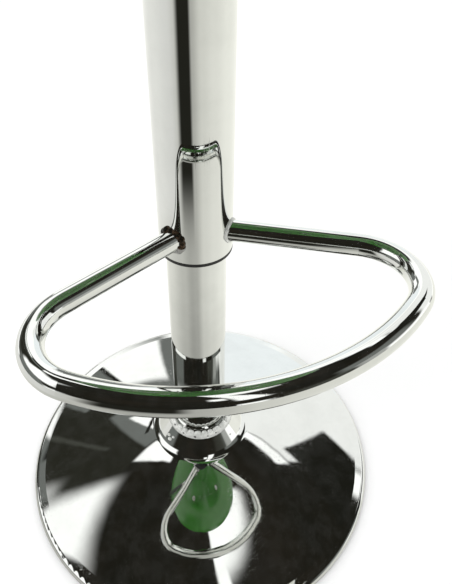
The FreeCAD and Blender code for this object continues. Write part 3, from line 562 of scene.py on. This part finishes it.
def make_weld_metal():
    """Plated weld: duller than the tube, with painted shade in its pits, and brown where the heat burnt the
    plate.
    """
    weld = Finish("plated weld")
    film, roughness = weld.haze(scale=160.0, low=0.26, high=0.5)
    scratched, scratch_relief = weld.scratches(scale=1500.0, amount=0.7)
    pit_painted_shade, burnt = [weld.add("ShaderNodeAttribute", attribute_name=name).outputs["Fac"]
                  for name in ("pit_painted_shade", "burnt")]
    blotches = weld.soft_step(weld.cloud(scale=320.0, detail=4.0, roughness=0.6), 0.36, 0.56)
    brown = weld.mix(blotches, BURNT_BROWN, BURNT_BLACK)
    plate = weld.mix(burnt, weld.mix(film, PALE_WELD, GREY_WELD), brown)
    # Painted shade: each pit is darkened almost to black.
    colour = weld.mix(weld.soft_step(pit_painted_shade, 0.25, 0.75), plate, grey(0.02))
    grains = weld.bump(weld.cloud(scale=900.0, detail=4.0, roughness=0.6), depth=0.00012)
    relief = weld.bump(scratch_relief, depth=0.00001, under=grains)
    return weld.finish(colour, roughness, relief, {"Metallic": 0.4, "Specular IOR Level": 0.2})


chrome = make_chrome()
weld_metal = make_weld_metal()
print("made", chrome.name, "and", weld_metal.name)

# %% [markdown]
# ## Rubber, nylon and paint
# The dark materials differ in how they shine, more than in colour. Rubber is dull and takes dust, nylon
# has a soft sheen, and paint is glossy, dimpled, and worn through to the metal along its edges.

# %% Dark materials and green paint
GREEN_PAINT, AGED_GREEN = rgba(0.025, 0.112, 0.014), rgba(0.033, 0.125, 0.021)
GREEN_UNDER = rgba(0.075, 0.20, 0.06)


def make_dull(name, dark, pale, rough, grain, grain_depth, dusty):
    """Rubber or moulded plastic: a fine grain, a haze and some dust."""
    skin = Finish(name)
    film, roughness = skin.haze(45.0, *rough)
    scratched, scratch_relief = skin.scratches(scale=1000.0, amount=0.5)
    base = skin.mix(skin.math("MAXIMUM", film, scratched), dark, pale)
    grains = skin.bump(skin.cloud(grain), grain_depth)
    relief = skin.bump(scratch_relief, depth=0.00001, under=grains)
    return skin.finish(skin.mix(skin.dust(dusty), base, grey(0.32)), roughness, relief)


def make_paint(name, fresh, aged, under, rough, wear):
    """Sprayed paint over metal: orange peel, haze, dust, and what lies under it on the worn edges."""
    coat = Finish(name)
    film, roughness = coat.haze(30.0, *rough)
    scratched, scratch_relief = coat.scratches(scale=900.0, amount=0.5)
    worn = coat.worn(radius=0.0007, amount=wear)
    peel = coat.use(orange_peel, {"Place": coat.spot, "Scale": 420.0})["Height"]
    paint = coat.mix(coat.dust(0.12), coat.mix(film, fresh, aged), grey(0.35))
    relief = coat.bump(scratch_relief, depth=0.000008, under=coat.bump(peel, depth=0.00003))
    shine = coat.math("SUBTRACT", 0.8, coat.times(worn, 0.8))
    return coat.finish(coat.mix(worn, paint, under), roughness, relief,
                       {"Metallic": worn, "Coat Weight": shine, "Coat Roughness": 0.06})


rubber = make_dull("black rubber", grey(0.016), grey(0.035), rough=(0.62, 0.85),
                   grain=1400.0, grain_depth=0.00006, dusty=0.35)
nylon = make_dull("black nylon", grey(0.006), grey(0.012), rough=(0.45, 0.62),
                  grain=900.0, grain_depth=0.00003, dusty=0.03)
grip_plastic = make_dull("moulded grip", grey(0.014), grey(0.028), rough=(0.38, 0.58),
                         grain=1100.0, grain_depth=0.00010, dusty=0.15)
black_paint = make_paint("black paint", grey(0.012), grey(0.022), grey(0.45), rough=(0.22, 0.38), wear=0.8)
green_paint = make_paint("green paint", GREEN_PAINT, AGED_GREEN, grey(0.50), rough=(0.16, 0.30), wear=0.5)
green_shell = make_paint("green shell", GREEN_PAINT, AGED_GREEN, GREEN_UNDER, rough=(0.14, 0.26), wear=0.3)

# %% [markdown]
# ## Steel, zinc and plywood
# The column's inner pieces are turned on a lathe, so fine rings run round them. Screws and the lever's
# rod are zinc plated, with a patchy bluish and yellow bloom. The seat board is plywood: its faces show
# long grain, and its edge shows the layers, every second one with its grain turned.

# %% Steel, zinc and plywood
TURNED_HAZE = rgba(0.43, 0.40, 0.37)
BLUISH_ZINC, YELLOW_ZINC = rgba(0.58, 0.60, 0.64), rgba(0.62, 0.58, 0.47)
WOOD_DARK, WOOD_PALE = rgba(0.52, 0.34, 0.18), rgba(0.68, 0.49, 0.29)
END_DARK, END_PALE = rgba(0.30, 0.18, 0.09), rgba(0.46, 0.30, 0.16)
BOARD_LAYER = 0.0012


def make_turned_steel():
    steel = Finish("turned steel")
    film, roughness = steel.haze(scale=38.0, low=0.22, high=0.42)
    rings = steel.use(turned_lines, {"Place": steel.spot, "Scale": 1400.0})
    metal = steel.mix(film, steel.mix(rings["Mask"], grey(0.50), grey(0.60)), TURNED_HAZE)
    colour = steel.mix(steel.worn(radius=0.0005, amount=0.5), metal, grey(0.78))
    return steel.finish(colour, roughness, steel.bump(rings["Height"], depth=0.00003), {"Metallic": 1.0})


def make_zinc():
    metal = Finish("zinc plate")
    film, roughness = metal.haze(scale=70.0, low=0.24, high=0.45)
    scratched, scratch_relief = metal.scratches(scale=1300.0, amount=0.6)
    bloom = metal.soft_step(metal.cloud(scale=120.0), 0.4, 0.65)
    worn = metal.worn(radius=0.0004, amount=0.5)
    colour = metal.mix(worn, metal.mix(bloom, BLUISH_ZINC, YELLOW_ZINC), grey(0.80))
    return metal.finish(colour, roughness, metal.bump(scratch_relief, depth=0.00001), {"Metallic": 1.0})


def make_plywood():
    board = Finish("plywood")
    film, roughness = board.haze(scale=30.0, low=0.5, high=0.7)
    layer = board.math("FRACT", board.math("DIVIDE", board.parts(board.spot)[2], 2 * BOARD_LAYER))
    upright = board.math("ABSOLUTE", board.parts(board.normal())[2])
    end_layer = board.times(board.soft_step(layer, 0.46, 0.54), board.soft_step(upright, 0.7, 0.4))
    along = board.cloud(scale=220.0, detail=4.0, roughness=0.6, stretch=(0.05, 1.0, 1.0))
    across = board.cloud(scale=700.0, roughness=0.7)
    colour = board.mix(end_layer, board.mix(along, WOOD_DARK, WOOD_PALE), board.mix(across, END_DARK, END_PALE))
    return board.finish(colour, roughness, board.bump(along, depth=0.0001))


turned_steel = make_turned_steel()
zinc = make_zinc()
plywood = make_plywood()
print("one layer of the board is", BOARD_LAYER * 1000, "mm thick")

# %% [markdown]
# ## Cloth and thread
# The cushion's cover is a plain weave of thick thread. Its pattern follows a map in metres that each
# sewn piece carries, so that the threads keep their size on the top, on the side and along the piping.
# The sewing thread is paler than the cloth.

# %% Green cloth and sewing thread
COVER_GREEN, FADED_GREEN = rgba(0.036, 0.125, 0.030), rgba(0.050, 0.150, 0.044)
# A painted shade between the threads.
PAINTED_SHADE_BETWEEN_THREADS = rgba(0.010, 0.040, 0.009)
THREAD_DARK, THREAD_PALE = rgba(0.05, 0.17, 0.045), rgba(0.10, 0.27, 0.085)


def make_cloth():
    cloth = Finish("green cloth")
    thread = cloth.add("ShaderNodeUVMap", uv_map="thread").outputs["UV"]
    weave = cloth.use(plain_weave, {"Thread": thread, "Pitch": 0.0015})
    film, roughness = cloth.haze(scale=12.0, low=0.72, high=0.92)
    # Painted shade: the cover darkens towards this colour where its threads dip.
    cover = cloth.mix(weave["Shade"], PAINTED_SHADE_BETWEEN_THREADS, cloth.mix(film, COVER_GREEN, FADED_GREEN))
    colour = cloth.mix(cloth.dust(0.10), cover, grey(0.30))
    return cloth.finish(colour, roughness, cloth.bump(weave["Height"], depth=0.0004),
                        {"Sheen Weight": 0.25, "Sheen Roughness": 0.5})


def make_sewing_thread():
    thread = Finish("sewing thread")
    film, roughness = thread.haze(scale=90.0, low=0.45, high=0.7)
    strands = thread.cloud(scale=2600.0, detail=2.0, stretch=(1.0, 1.0, 0.4))
    colour = thread.mix(strands, THREAD_DARK, THREAD_PALE)
    return thread.finish(colour, roughness, thread.bump(strands, depth=0.0001))


green_cloth = make_cloth()
sewing_thread = make_sewing_thread()
print("materials so far:", len(bpy.data.materials))

# %% [markdown]
# ## Dress the solid pieces
# The solid pieces are exact already, so each keeps its mesh and only takes the material of what it is
# made of. The few that look plainer than the real thing are replaced further on.

# %% Give every solid its material
PIECES_OF = (
    (chrome, ("base_dish", "lower_tube", "sleeve", "footrest_ring")),
    (rubber, ("floor_ring", "bump_stop", "piston_seal", "rod_seal")),
    (nylon, ("column_bush", "tube_guide", "rod_guide", "ball_cage")),
    (grip_plastic, ("lever_grip",)),
    (turned_steel, ("base_plate", "column_tube", "column_floor", "bearing_lower_race", "bearing_upper_race",
                    "bearing_balls", "piston_rod", "piston", "rod_shoulder", "rod_washer", "rod_clip",
                    "valve_block", "valve_pin", "sleeve_head", "lever_pin")),
    (zinc, ("seat_screws", "seat_washers", "seat_nuts", "lever_rod")),
    (black_paint, ("gas_cylinder", "taper_socket", "lever_ears")),
    (green_paint, ("seat_plate",)),
    (green_shell, ("seat_pan",)),
    (plywood, ("seat_board",)),
)


def dress(node, material):
    mesh_slots = nodes[node].material_slots
    if not mesh_slots:
        nodes[node].data.materials.append(material)
    for mesh_slot in mesh_slots:
        mesh_slot.material = material


for material, names in PIECES_OF:
    for name in names:
        dress(name, material)
print("dressed", sum(len(names) for material, names in PIECES_OF), "solid pieces")

# %% [markdown]
# ## Helpers for the new pieces
# Most new pieces here are round the column, so they start as a half section of a few points and are
# spun round it. A spun shape can come out inside out, so its doubles are merged first and its faces
# are then turned outwards.

# %% Spin a section, and hand a piece over
SHARP_CORNER = math.radians(40)
MERGE_REACH = 1e-6
RUNNING_GAP = 0.0001


def spin_round(shape, geometry, steps):
    """Spin points and edges once round the column, and close what comes out."""
    bmesh.ops.spin(shape, geom=geometry, cent=(0, 0, 0), axis=(0, 0, 1), angle=math.tau, steps=steps,
                   use_merge=True)
    bmesh.ops.remove_doubles(shape, verts=shape.verts, dist=MERGE_REACH)
    bmesh.ops.recalc_face_normals(shape, faces=shape.faces)
    return shape


def spun(section, steps, closed=False):
    """A bmesh of (radius, height) points spun once round the column."""
    shape = bmesh.new()
    corners = [shape.verts.new((radius, 0.0, height)) for radius, height in section]
    edges = [shape.edges.new(pair) for pair in zip(corners, corners[1:])]
    if closed:
        edges.append(shape.edges.new((corners[-1], corners[0])))
    return spin_round(shape, corners + edges, steps)


def quarter_round(count):
    """The sine and cosine of a quarter turn in even steps."""
    for number in range(count + 1):
        lean = math.pi / 2 * number / count
        yield math.sin(lean), math.cos(lean)


def hand_over(name, shape, body, material, stands_for=()):
    """Make the bmesh an object that rides on a body and takes the place of CAD nodes."""
    mesh = bpy.data.meshes.new(name)
    shape.to_mesh(mesh)
    shape.free()
    mesh.materials.append(material)
    mesh.shade_smooth()
    mesh.set_sharp_from_angle(angle=SHARP_CORNER)
    piece = bpy.data.objects.new(name, mesh)
    bpy.context.scene.collection.objects.link(piece)
    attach(piece, body)
    if stands_for:
        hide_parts(*stands_for)
    print(name, "has", len(mesh.polygons), "faces")
    return piece


def settle(piece):
    """Bake the piece's modifiers into its mesh."""
    shown = piece.evaluated_get(bpy.context.evaluated_depsgraph_get())
    mesh = bpy.data.meshes.new_from_object(shown)
    piece.modifiers.clear()
    piece.data = mesh
    mesh.shade_smooth()


def mark(piece, name, value_at):
    """Store a value for each corner of the piece's mesh, which its material can read."""
    layer = piece.data.attributes.new(name, "FLOAT", "POINT")
    for corner in piece.data.vertices:
        layer.data[corner.index].value = value_at(corner.co)


# %% [markdown]
# ## The flare under the hub
# From the weld the pressed dish falls away in a straight cone, and turns out into its low swell through a
# round hollow. The chrome shows this plainly: the dark room in front of the stool is mirrored right up to
# the weld. A thin spun collar lies on the solid dish and gives its neck that line. Rays from above find
# where the dish is and how it slopes, and the hollow is an arc that touches cone and dish.

# %% Spin the flare
FLARE_TOP = Vector((0.0356, 0.0674))
FLARE_SLOPE = math.radians(54)
HOLLOW_RADIUS = 0.014
HOLLOW_CORNERS = 16
DISH_PROBES = (0.052, 0.060)
PROBE_HEIGHT = 0.2
DOWN = Vector((0, 0, -1))
COLLAR_PROUD = 0.00004
COLLAR_RUN_OUT = 0.002
COLLAR_EDGE = 0.0006
COLLAR_WALL = Vector((0.004, 0.0012))
COLLAR_TOP_WALL = 0.004


def dish_height(reach):
    hit, place, normal, face = nodes["base_dish"].ray_cast(Vector((0, -reach, PROBE_HEIGHT)), DOWN)
    return place.z + COLLAR_PROUD


def make_flare():
    near, far = [Vector((reach, dish_height(reach))) for reach in DISH_PROBES]
    dish_slope = math.atan2(near.y - far.y, far.x - near.x)
    down_cone = Vector((math.cos(FLARE_SLOPE), -math.sin(FLARE_SLOPE)))
    along_dish = (far - near).normalized()
    # where the cone's line meets the dish's line
    gap = near - FLARE_TOP
    spread_apart = down_cone.x * along_dish.y - down_cone.y * along_dish.x
    meet = FLARE_TOP + down_cone * ((gap.x * along_dish.y - gap.y * along_dish.x) / spread_apart)
    # the arc that touches both lines
    bend = FLARE_SLOPE - dish_slope
    touch = meet - down_cone * HOLLOW_RADIUS * math.tan(bend / 2)
    middle = touch + Vector((math.sin(FLARE_SLOPE), math.cos(FLARE_SLOPE))) * HOLLOW_RADIUS
    section = [tuple(FLARE_TOP)]
    for number in range(HOLLOW_CORNERS + 1):
        lean = FLARE_SLOPE - bend * number / HOLLOW_CORNERS
        section.append((middle.x - HOLLOW_RADIUS * math.sin(lean), middle.y - HOLLOW_RADIUS * math.cos(lean)))
    end_reach = section[-1][0] + COLLAR_RUN_OUT
    end_height = dish_height(end_reach)
    section += [(end_reach, end_height), (end_reach, end_height - COLLAR_EDGE),
                (meet.x - COLLAR_WALL.x, meet.y - COLLAR_WALL.y), (FLARE_TOP.x, FLARE_TOP.y - COLLAR_TOP_WALL)]
    return hand_over("dish_flare", spun(section, 256, closed=True), "base", chrome)


dish_flare = make_flare()

# %% [markdown]
# ## The stepped ring
# The ring round the tube's foot is pressed in two steps. Each step leans, so that it mirrors the dark room
# in front, and its corners are bevelled, which draws the thin bright lines that show there.

# %% Spin the stepped ring
STEP_LEAN = math.radians(42)
STEP_RUN = 0.0019
STEP_RISE = 0.0007
CORNER_BEVEL = 0.00025

ring_low, ring_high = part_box("hub_ring")
tube_low, tube_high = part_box("lower_tube")


def make_stepped_ring():
    bore = tube_high.x + RUNNING_GAP
    drop = STEP_RUN * math.tan(STEP_LEAN)
    outer = ring_high.x
    upper_foot = ring_high.z - drop
    lower_top = upper_foot - STEP_RISE
    section = [(bore, ring_low.z), (bore, ring_high.z), (outer - 2 * STEP_RUN, ring_high.z),
               (outer - STEP_RUN, upper_foot), (outer - STEP_RUN, lower_top), (outer, lower_top - drop),
               (outer, ring_low.z)]
    ring = spun(section, 192, closed=True)
    corners = [edge for edge in ring.edges
               if edge.calc_face_angle(0.0) > STEP_LEAN / 2 and min(v.co.z for v in edge.verts) > ring_low.z]
    bmesh.ops.bevel(ring, geom=corners, offset=CORNER_BEVEL, segments=2, profile=0.5, affect="EDGES",
                    material=-1, clamp_overlap=True)
    return hand_over("hub_steps", ring, "base", chrome, ["hub_ring"])


make_stepped_ring()

# %% [markdown]
# ## The weld round the hub
# The stepped ring round the tube's foot is welded to the dish. A weld laid by hand is a row of lobes,
# each one a drop of metal that froze against the one before it, with small dark pits where gas escaped.
# A section spun round the column gives the bead. Half circles cut its upper edge into scallops, nobody
# lays them quite evenly, and each pit is pushed in with a soft round shape.

# %% Spin the hub's bead, scallop it and pit it
HUB_LOBES = 26
LOBE_STEPS = 24
SCALLOP_SHARE = 0.36
LOBE_SWELL_SHARE = 0.16
BEAD_CORNERS = 14
BEAD_WIDTH = 0.0040
BEAD_FOOT = 0.0673
BEAD_TOP = 0.0756
BEAD_TALL = BEAD_TOP - BEAD_FOOT
BEAD_OVERLAP = BEAD_WIDTH * 0.15
# The hand's pace: how many waves round the bead, where they start, and how far they shift the lobes.
HAND_PACE = ((3, 1.0, 0.045), (7, 0.0, 0.03))
PIT_DEPTH = 0.0008
# How far round from the front in degrees, how far up the bead as a share, and the radius.
HUB_PITS = ((-128, 0.45, 0.0012), (-70, 0.62, 0.0012), (-47, 0.40, 0.0010), (-25, 0.30, 0.0014),
            (-2, 0.33, 0.0009), (14, 0.42, 0.0010), (66, 0.55, 0.0012), (121, 0.35, 0.0010),
            (170, 0.50, 0.0009))


def pits_at(turn, reach, height):
    """How much of each pit there is at a place, from 0 to 1."""
    for degrees, share, size in HUB_PITS:
        aside = (math.radians(degrees) - turn) * reach
        above = height - BEAD_FOOT - BEAD_TALL * share
        yield math.exp(-(aside ** 2 + above ** 2) / size ** 2)


def make_hub_weld():
    inner = ring_high.x
    section = [(inner - BEAD_OVERLAP, BEAD_FOOT), (inner - BEAD_OVERLAP, BEAD_TOP)]
    section += [(inner + BEAD_WIDTH * out, BEAD_FOOT + BEAD_TALL * up)
                for out, up in quarter_round(BEAD_CORNERS)]
    bead = spun(section, HUB_LOBES * LOBE_STEPS, closed=True)
    for corner in bead.verts:
        reach = math.hypot(corner.co.x, corner.co.y)
        turn = math.atan2(corner.co.x, -corner.co.y)
        up = (corner.co.z - BEAD_FOOT) / BEAD_TALL
        uneven = turn + sum(shift * math.sin(waves * turn + start) for waves, start, shift in HAND_PACE)
        from_middle = 2 * (uneven * HUB_LOBES / math.tau % 1.0) - 1
        lobe = math.sqrt(max(0.0, 1 - from_middle ** 2))
        corner.co.z = BEAD_FOOT + BEAD_TALL * up * (1 - SCALLOP_SHARE * (1 - lobe) * up)
        if reach < inner:
            continue
        grown = inner + (reach - inner) * (1 - LOBE_SWELL_SHARE * (1 - lobe) * up)
        grown -= PIT_DEPTH * sum(pits_at(turn, reach, corner.co.z))
        corner.co.x *= grown / reach
        corner.co.y *= grown / reach
    piece = hand_over("hub_weld_lobes", bead, "base", weld_metal, ["base_weld"])
    # The pits are also marked for the material, which paints shade into them.
    mark(piece, "pit_painted_shade", lambda place: max(pits_at(math.atan2(place.x, -place.y), inner, place.z)))
    return piece


make_hub_weld()

# %% [markdown]
# A few drops of spatter froze on the flare beside the bead. They are small balls pressed flat, and a ray
# from above finds the chrome under each, so that it sits on the slope.

# %% Spatter on the flare
# How far round from the front in degrees, the reach from the column's axis, and the radius.
SPATTER = ((-72, 0.0415, 0.0017), (-67, 0.0430, 0.0021), (-63, 0.0405, 0.0014), (38, 0.0412, 0.0010))
FLATTENED = (1.15, 0.9, 0.7)
SPATTER_LIFT = 0.2


def make_spatter():
    drops = bmesh.new()
    for degrees, reach, size in SPATTER:
        turn = math.radians(degrees)
        above = Vector((reach * math.sin(turn), -reach * math.cos(turn), PROBE_HEIGHT))
        hit, place, normal, face = dish_flare.ray_cast(above, DOWN)
        drop = bmesh.ops.create_icosphere(drops, subdivisions=3, radius=size)["verts"]
        bmesh.ops.scale(drops, verts=drop, vec=FLATTENED)
        bmesh.ops.rotate(drops, verts=drop, cent=(0, 0, 0), matrix=Matrix.Rotation(turn, 3, "Z"))
        bmesh.ops.translate(drops, verts=drop, vec=place + normal * size * SPATTER_LIFT)
    return hand_over("weld_spatter", drops, "base", weld_metal)


make_spatter()

# %% [markdown]
# ## The welds of the footrest's legs
# Each leg of the footrest ends on the sleeve, and a bead runs round it. Its line is where a round tube
# meets a larger round tube. Rays sent along the leg's own side find that line on the solid model, drops
# of metal are set along it, and a voxel remesh melts them together. The left weld was laid hot and in
# large drops, and its plate is burnt brown down to its pale lower end. The right one is thin and pale.

# %% Lay drops round each leg and melt them together
LEG_ROOT = Vector((0.0, -0.006, 0.328))
LEG_SLOPE = math.radians(28.46)
TUBE_RADIUS = 0.0095
RAY_START = 0.06
# How far a drop may lie outwards of the line, as a share of its radius.
DROP_SCATTER = (-0.1, 0.25)
MELT_SIZE = 0.0005
BURN_BELOW = 0.0035
UP = Vector((0.0, 0.0, 1.0))


def bead_line(side, count):
    """Points round one leg where its tube meets the sleeve, each with the bead's outward way."""
    along = Vector((side * math.cos(LEG_SLOPE), -math.sin(LEG_SLOPE), 0.0))
    across = UP.cross(along)
    points = []
    for step in range(count):
        turn = math.tau * step / count
        out = across * math.cos(turn) + UP * math.sin(turn)
        start = LEG_ROOT + along * RAY_START + out * TUBE_RADIUS
        hit, place, normal, face = nodes["sleeve"].ray_cast(start, -along)
        if hit:
            points.append((place, (out + normal).normalized()))
    print("the bead on side", side, "has", len(points), "drops")
    return points


def make_leg_weld(name, side, count, sizes, node, seed, burn_low, burn_high):
    draw = random.Random(seed)
    drops = bmesh.new()
    for place, out in bead_line(side, count):
        size = draw.uniform(*sizes)
        ball = bmesh.ops.create_icosphere(drops, subdivisions=3, radius=size)["verts"]
        bmesh.ops.translate(drops, verts=ball, vec=place + out * size * draw.uniform(*DROP_SCATTER))
    piece = hand_over(name, drops, "lift", weld_metal, [node])
    melt = piece.modifiers.new("melt", "REMESH")
    melt.mode = "VOXEL"
    melt.voxel_size = MELT_SIZE
    soften = piece.modifiers.new("soften", "SMOOTH")
    soften.factor = 0.5
    soften.iterations = 3
    settle(piece)
    mark(piece, "burnt", lambda place: burn_low if place.z < LEG_ROOT.z - BURN_BELOW else burn_high)
    return piece


make_leg_weld("leg_weld_left", side=-1, count=15, sizes=(0.0026, 0.0040), node="footrest_weld_left",
              seed=3, burn_low=0.6, burn_high=1.0)
make_leg_weld("leg_weld_right", side=1, count=36, sizes=(0.0016, 0.0021), node="footrest_weld_right",
              seed=5, burn_low=0.05, burn_high=0.2)

# %% [markdown]
# ## The black seam
# The sleeve runs on a nylon bush, and the bush's lip shows as a black line between the two chrome tubes.
# Its outer edge is rounded, which takes the shine off it. Bush and lip are one section, spun once.

# %% Spin the bush with its lip
LIP_DROP = 0.0006
LIP_ROUND = 0.0007
LIP_CORNERS = 4
BUSH_INSET = 0.0016

bush_low, bush_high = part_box("sleeve_bush")
sleeve_low, sleeve_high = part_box("sleeve")


def make_bush():
    bore = tube_high.x + RUNNING_GAP
    lip_reach = sleeve_high.x
    lip_foot = bush_low.z - LIP_DROP
    lip_top = sleeve_low.z - RUNNING_GAP
    bush_reach = sleeve_high.x - BUSH_INSET
    section = [(bore, bush_high.z), (bore, lip_foot)]
    section += [(lip_reach - LIP_ROUND * (1 - out), lip_foot + LIP_ROUND * (1 - up))
                for out, up in quarter_round(LIP_CORNERS)]
    section += [(lip_reach, lip_top), (bush_reach, lip_top), (bush_reach, bush_high.z)]
    return hand_over("sleeve_bush_lip", spun(section, 160, closed=True), "lift", nylon,
                     ["sleeve_bush"])


make_bush()

# %% [markdown]
# ## The seat cushion
# The cushion is a round block of foam in a sewn cover. A stitched channel marks off a middle panel, and
# piping hides the seam between top and side. The closed shape is spun a little too small, remeshed into
# even faces and blown up as cloth, with the seams held, because that gives the fullness between seams
# that no plain section has.

# %% Shape the cushion and blow it up
PANEL_RADIUS = 0.105
VOXEL = 0.005
AIR_PRESSURE = 4.0
SWELL_FRAMES = 20
SWELL_LIMIT = 0.005
HELD_REACH = 0.004
HELD_ABOVE_RIM = 0.001
SEAM_EDGE = 0.005

pan_low, pan_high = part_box("seat_pan")
pad_low, pad_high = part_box("seat_cushion")
piping_low, piping_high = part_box("seat_piping")
piping_radius = (piping_high.z - piping_low.z) / 2
seam_height = (piping_high.z + piping_low.z) / 2
seam_radius = piping_high.x - 2 * piping_radius


def cushion_section(rim):
    """From the middle of the underside, over the pan's rim and the seam, to the middle of the top."""
    well = pad_low.z + 0.002
    under = [(0.0, well), (seam_radius * 0.66, well), (seam_radius * 0.86, well + 0.006)]
    side = [(seam_radius - 0.003, rim - 0.001), (seam_radius + 0.001, rim + 0.002),
            (seam_radius + 0.003, (rim + seam_height) / 2), (seam_radius, seam_height)]
    top = [(seam_radius * 0.8, seam_height + 0.0045), (PANEL_RADIUS, pad_high.z - 0.006),
           (PANEL_RADIUS * 0.5, pad_high.z - 0.003), (0.0, pad_high.z - 0.002)]
    return under + side + top


def swell(pad, rim):
    """Blow the cover up as cloth, held below the rim and along its seams."""
    rest = [corner.co.copy() for corner in pad.data.vertices]
    held = pad.vertex_groups.new(name="held")
    for corner in pad.data.vertices:
        reach = math.hypot(corner.co.x, corner.co.y)
        low = corner.co.z < rim + HELD_ABOVE_RIM
        on_seam = abs(corner.co.z - seam_height) < HELD_REACH and reach > seam_radius - SEAM_EDGE
        on_channel = abs(reach - PANEL_RADIUS) < HELD_REACH and corner.co.z > seam_height
        if low or on_seam or on_channel:
            held.add([corner.index], 1.0, "REPLACE")
    blown = pad.modifiers.new("blown", "CLOTH")
    blown.settings.use_pressure = True
    blown.settings.uniform_pressure_force = AIR_PRESSURE
    blown.settings.effector_weights.gravity = 0.0
    blown.settings.vertex_group_mass = "held"
    for frame_number in range(1, SWELL_FRAMES + 1):
        bpy.context.scene.frame_set(frame_number)
    settle(pad)
    for corner, start in zip(pad.data.vertices, rest):
        moved = corner.co - start
        if moved.length > SWELL_LIMIT:
            corner.co = start + moved * (SWELL_LIMIT / moved.length)
    bpy.context.scene.frame_set(1)


print("the seat's seam has a radius of", round(seam_radius, 4), "m")

# %% [markdown]
# The sewn channel is pressed in after the swelling, because the air would push it flat again. Every stitch
# draws the cloth together into a pucker, and the side gathers in uneven folds below the seam. The cloth's
# map comes last, when the cushion has its final shape.

# %% Press the channel in and map the cloth
CHANNEL_DEPTH = 0.004
CHANNEL_HALF = 0.007
PUCKERS = 66
PUCKER_DEPTH = 0.0006
SIDE_BAND = 0.006
GATHER_DEPTH = 0.0012
GATHER_FADE = 0.012
# The folds of the gathered side: how many go round, and where they start.
GATHERS = ((41, 0.0), (67, 1.3))
# A face that looks up or down more than this takes the flat map.
FLAT_FACE = 0.6


def press_channel(pad):
    """Press the sewn channel in, with a pucker at each stitch, and gather the side below the seam."""
    for corner in pad.data.vertices:
        reach = math.hypot(corner.co.x, corner.co.y)
        turn = math.atan2(corner.co.y, corner.co.x)
        if corner.co.z > seam_height:
            near = math.exp(-2 * ((reach - PANEL_RADIUS) / CHANNEL_HALF) ** 2)
            wide = math.exp(-2 * ((reach - PANEL_RADIUS) / (3 * CHANNEL_HALF)) ** 2)
            corner.co.z -= CHANNEL_DEPTH * near + PUCKER_DEPTH * wide * math.sin(turn * PUCKERS)
        elif reach > seam_radius - SIDE_BAND:
            below = math.exp(-((seam_height - corner.co.z) / GATHER_FADE) ** 2)
            folds = sum(math.sin(turn * count + start) for count, start in GATHERS)
            pull = 1 - GATHER_DEPTH * below * folds / seam_radius / 2
            corner.co.x *= pull
            corner.co.y *= pull


def map_threads(piece):
    """The cloth's own map in metres: x and y on top and below, and round by height on the side."""
    mesh = piece.data
    threads = mesh.uv_layers.new(name="thread")
    for face in mesh.polygons:
        middle_turn = math.atan2(face.center.y, face.center.x)
        for loop in face.loop_indices:
            place = mesh.vertices[mesh.loops[loop].vertex_index].co
            if abs(face.normal.z) > FLAT_FACE:
                threads.data[loop].uv = (place.x, place.y)
                continue
            aside = (math.atan2(place.y, place.x) - middle_turn + math.pi) % math.tau - math.pi
            threads.data[loop].uv = ((middle_turn + aside) * seam_radius, place.z)


def make_cushion():
    rim = pan_high.z
    pad = hand_over("seat_pad", spun(cushion_section(rim), 96), "lift", green_cloth,
                    ["seat_cushion"])
    pad.modifiers.new("even", "REMESH").voxel_size = VOXEL
    settle(pad)
    swell(pad, rim)
    fine = pad.modifiers.new("fine", "SUBSURF")
    fine.levels = fine.render_levels = 1
    settle(pad)
    press_channel(pad)
    map_threads(pad)
    return pad


seat_pad = make_cushion()

# %% [markdown]
# ## Piping and stitches
# Piping is a cord in its own strip of cloth. It is a circle spun round the seam, and its weave runs
# along it. Each stitch is a small ball drawn out long, with its ends bent down into the cloth. A ray from
# above finds the cushion under it.

# %% Piping and stitches
PIPING_STEPS = 300
PIPING_CORNERS = 14
STITCH_LENGTH = 0.0058
STITCH_RADIUS = 0.00055
STITCH_STEP = 0.0088
STITCH_DIP = STITCH_RADIUS * 3
STITCH_LIFT = STITCH_RADIUS * 0.6
CHANNEL_ASIDE = 0.0052
SEAM_ASIDE = 0.009
STITCH_ROWS = (PANEL_RADIUS - CHANNEL_ASIDE, PANEL_RADIUS + CHANNEL_ASIDE, seam_radius - SEAM_ASIDE)
QUARTER_TURN = Matrix.Rotation(math.pi / 2, 3, "X")


def make_piping():
    cord = bmesh.new()
    ring = bmesh.ops.create_circle(cord, segments=PIPING_CORNERS, radius=piping_radius)["verts"]
    bmesh.ops.rotate(cord, verts=ring, cent=(0, 0, 0), matrix=QUARTER_TURN)
    bmesh.ops.translate(cord, verts=ring, vec=(seam_radius + piping_radius, 0, seam_height))
    spin_round(cord, cord.verts[:] + cord.edges[:], PIPING_STEPS)
    piping = hand_over("seat_cord", cord, "lift", green_cloth, ["seat_piping"])
    map_threads(piping)
    return piping


def sew_stitch(stitches, radius, turn):
    above = Vector((radius * math.cos(turn), radius * math.sin(turn), pad_high.z + 0.05))
    hit, place, normal, face = seat_pad.ray_cast(above, DOWN)
    stitch = bmesh.ops.create_uvsphere(stitches, u_segments=8, v_segments=6, radius=STITCH_RADIUS)["verts"]
    bmesh.ops.scale(stitches, verts=stitch, vec=(1, 1, STITCH_LENGTH / STITCH_RADIUS / 2))
    bmesh.ops.rotate(stitches, verts=stitch, cent=(0, 0, 0), matrix=QUARTER_TURN)
    for corner in stitch:
        corner.co.z -= (corner.co.y / STITCH_LENGTH) ** 2 * STITCH_DIP
    bmesh.ops.rotate(stitches, verts=stitch, cent=(0, 0, 0), matrix=Matrix.Rotation(turn, 3, "Z"))
    bmesh.ops.translate(stitches, verts=stitch, vec=place + normal * STITCH_LIFT)


def make_stitches():
    stitches = bmesh.new()
    for radius in STITCH_ROWS:
        count = round(math.tau * radius / STITCH_STEP)
        for number in range(count):
            sew_stitch(stitches, radius, math.tau * number / count)
    return hand_over("seat_stitches", stitches, "lift", sewing_thread)


make_piping()
make_stitches()
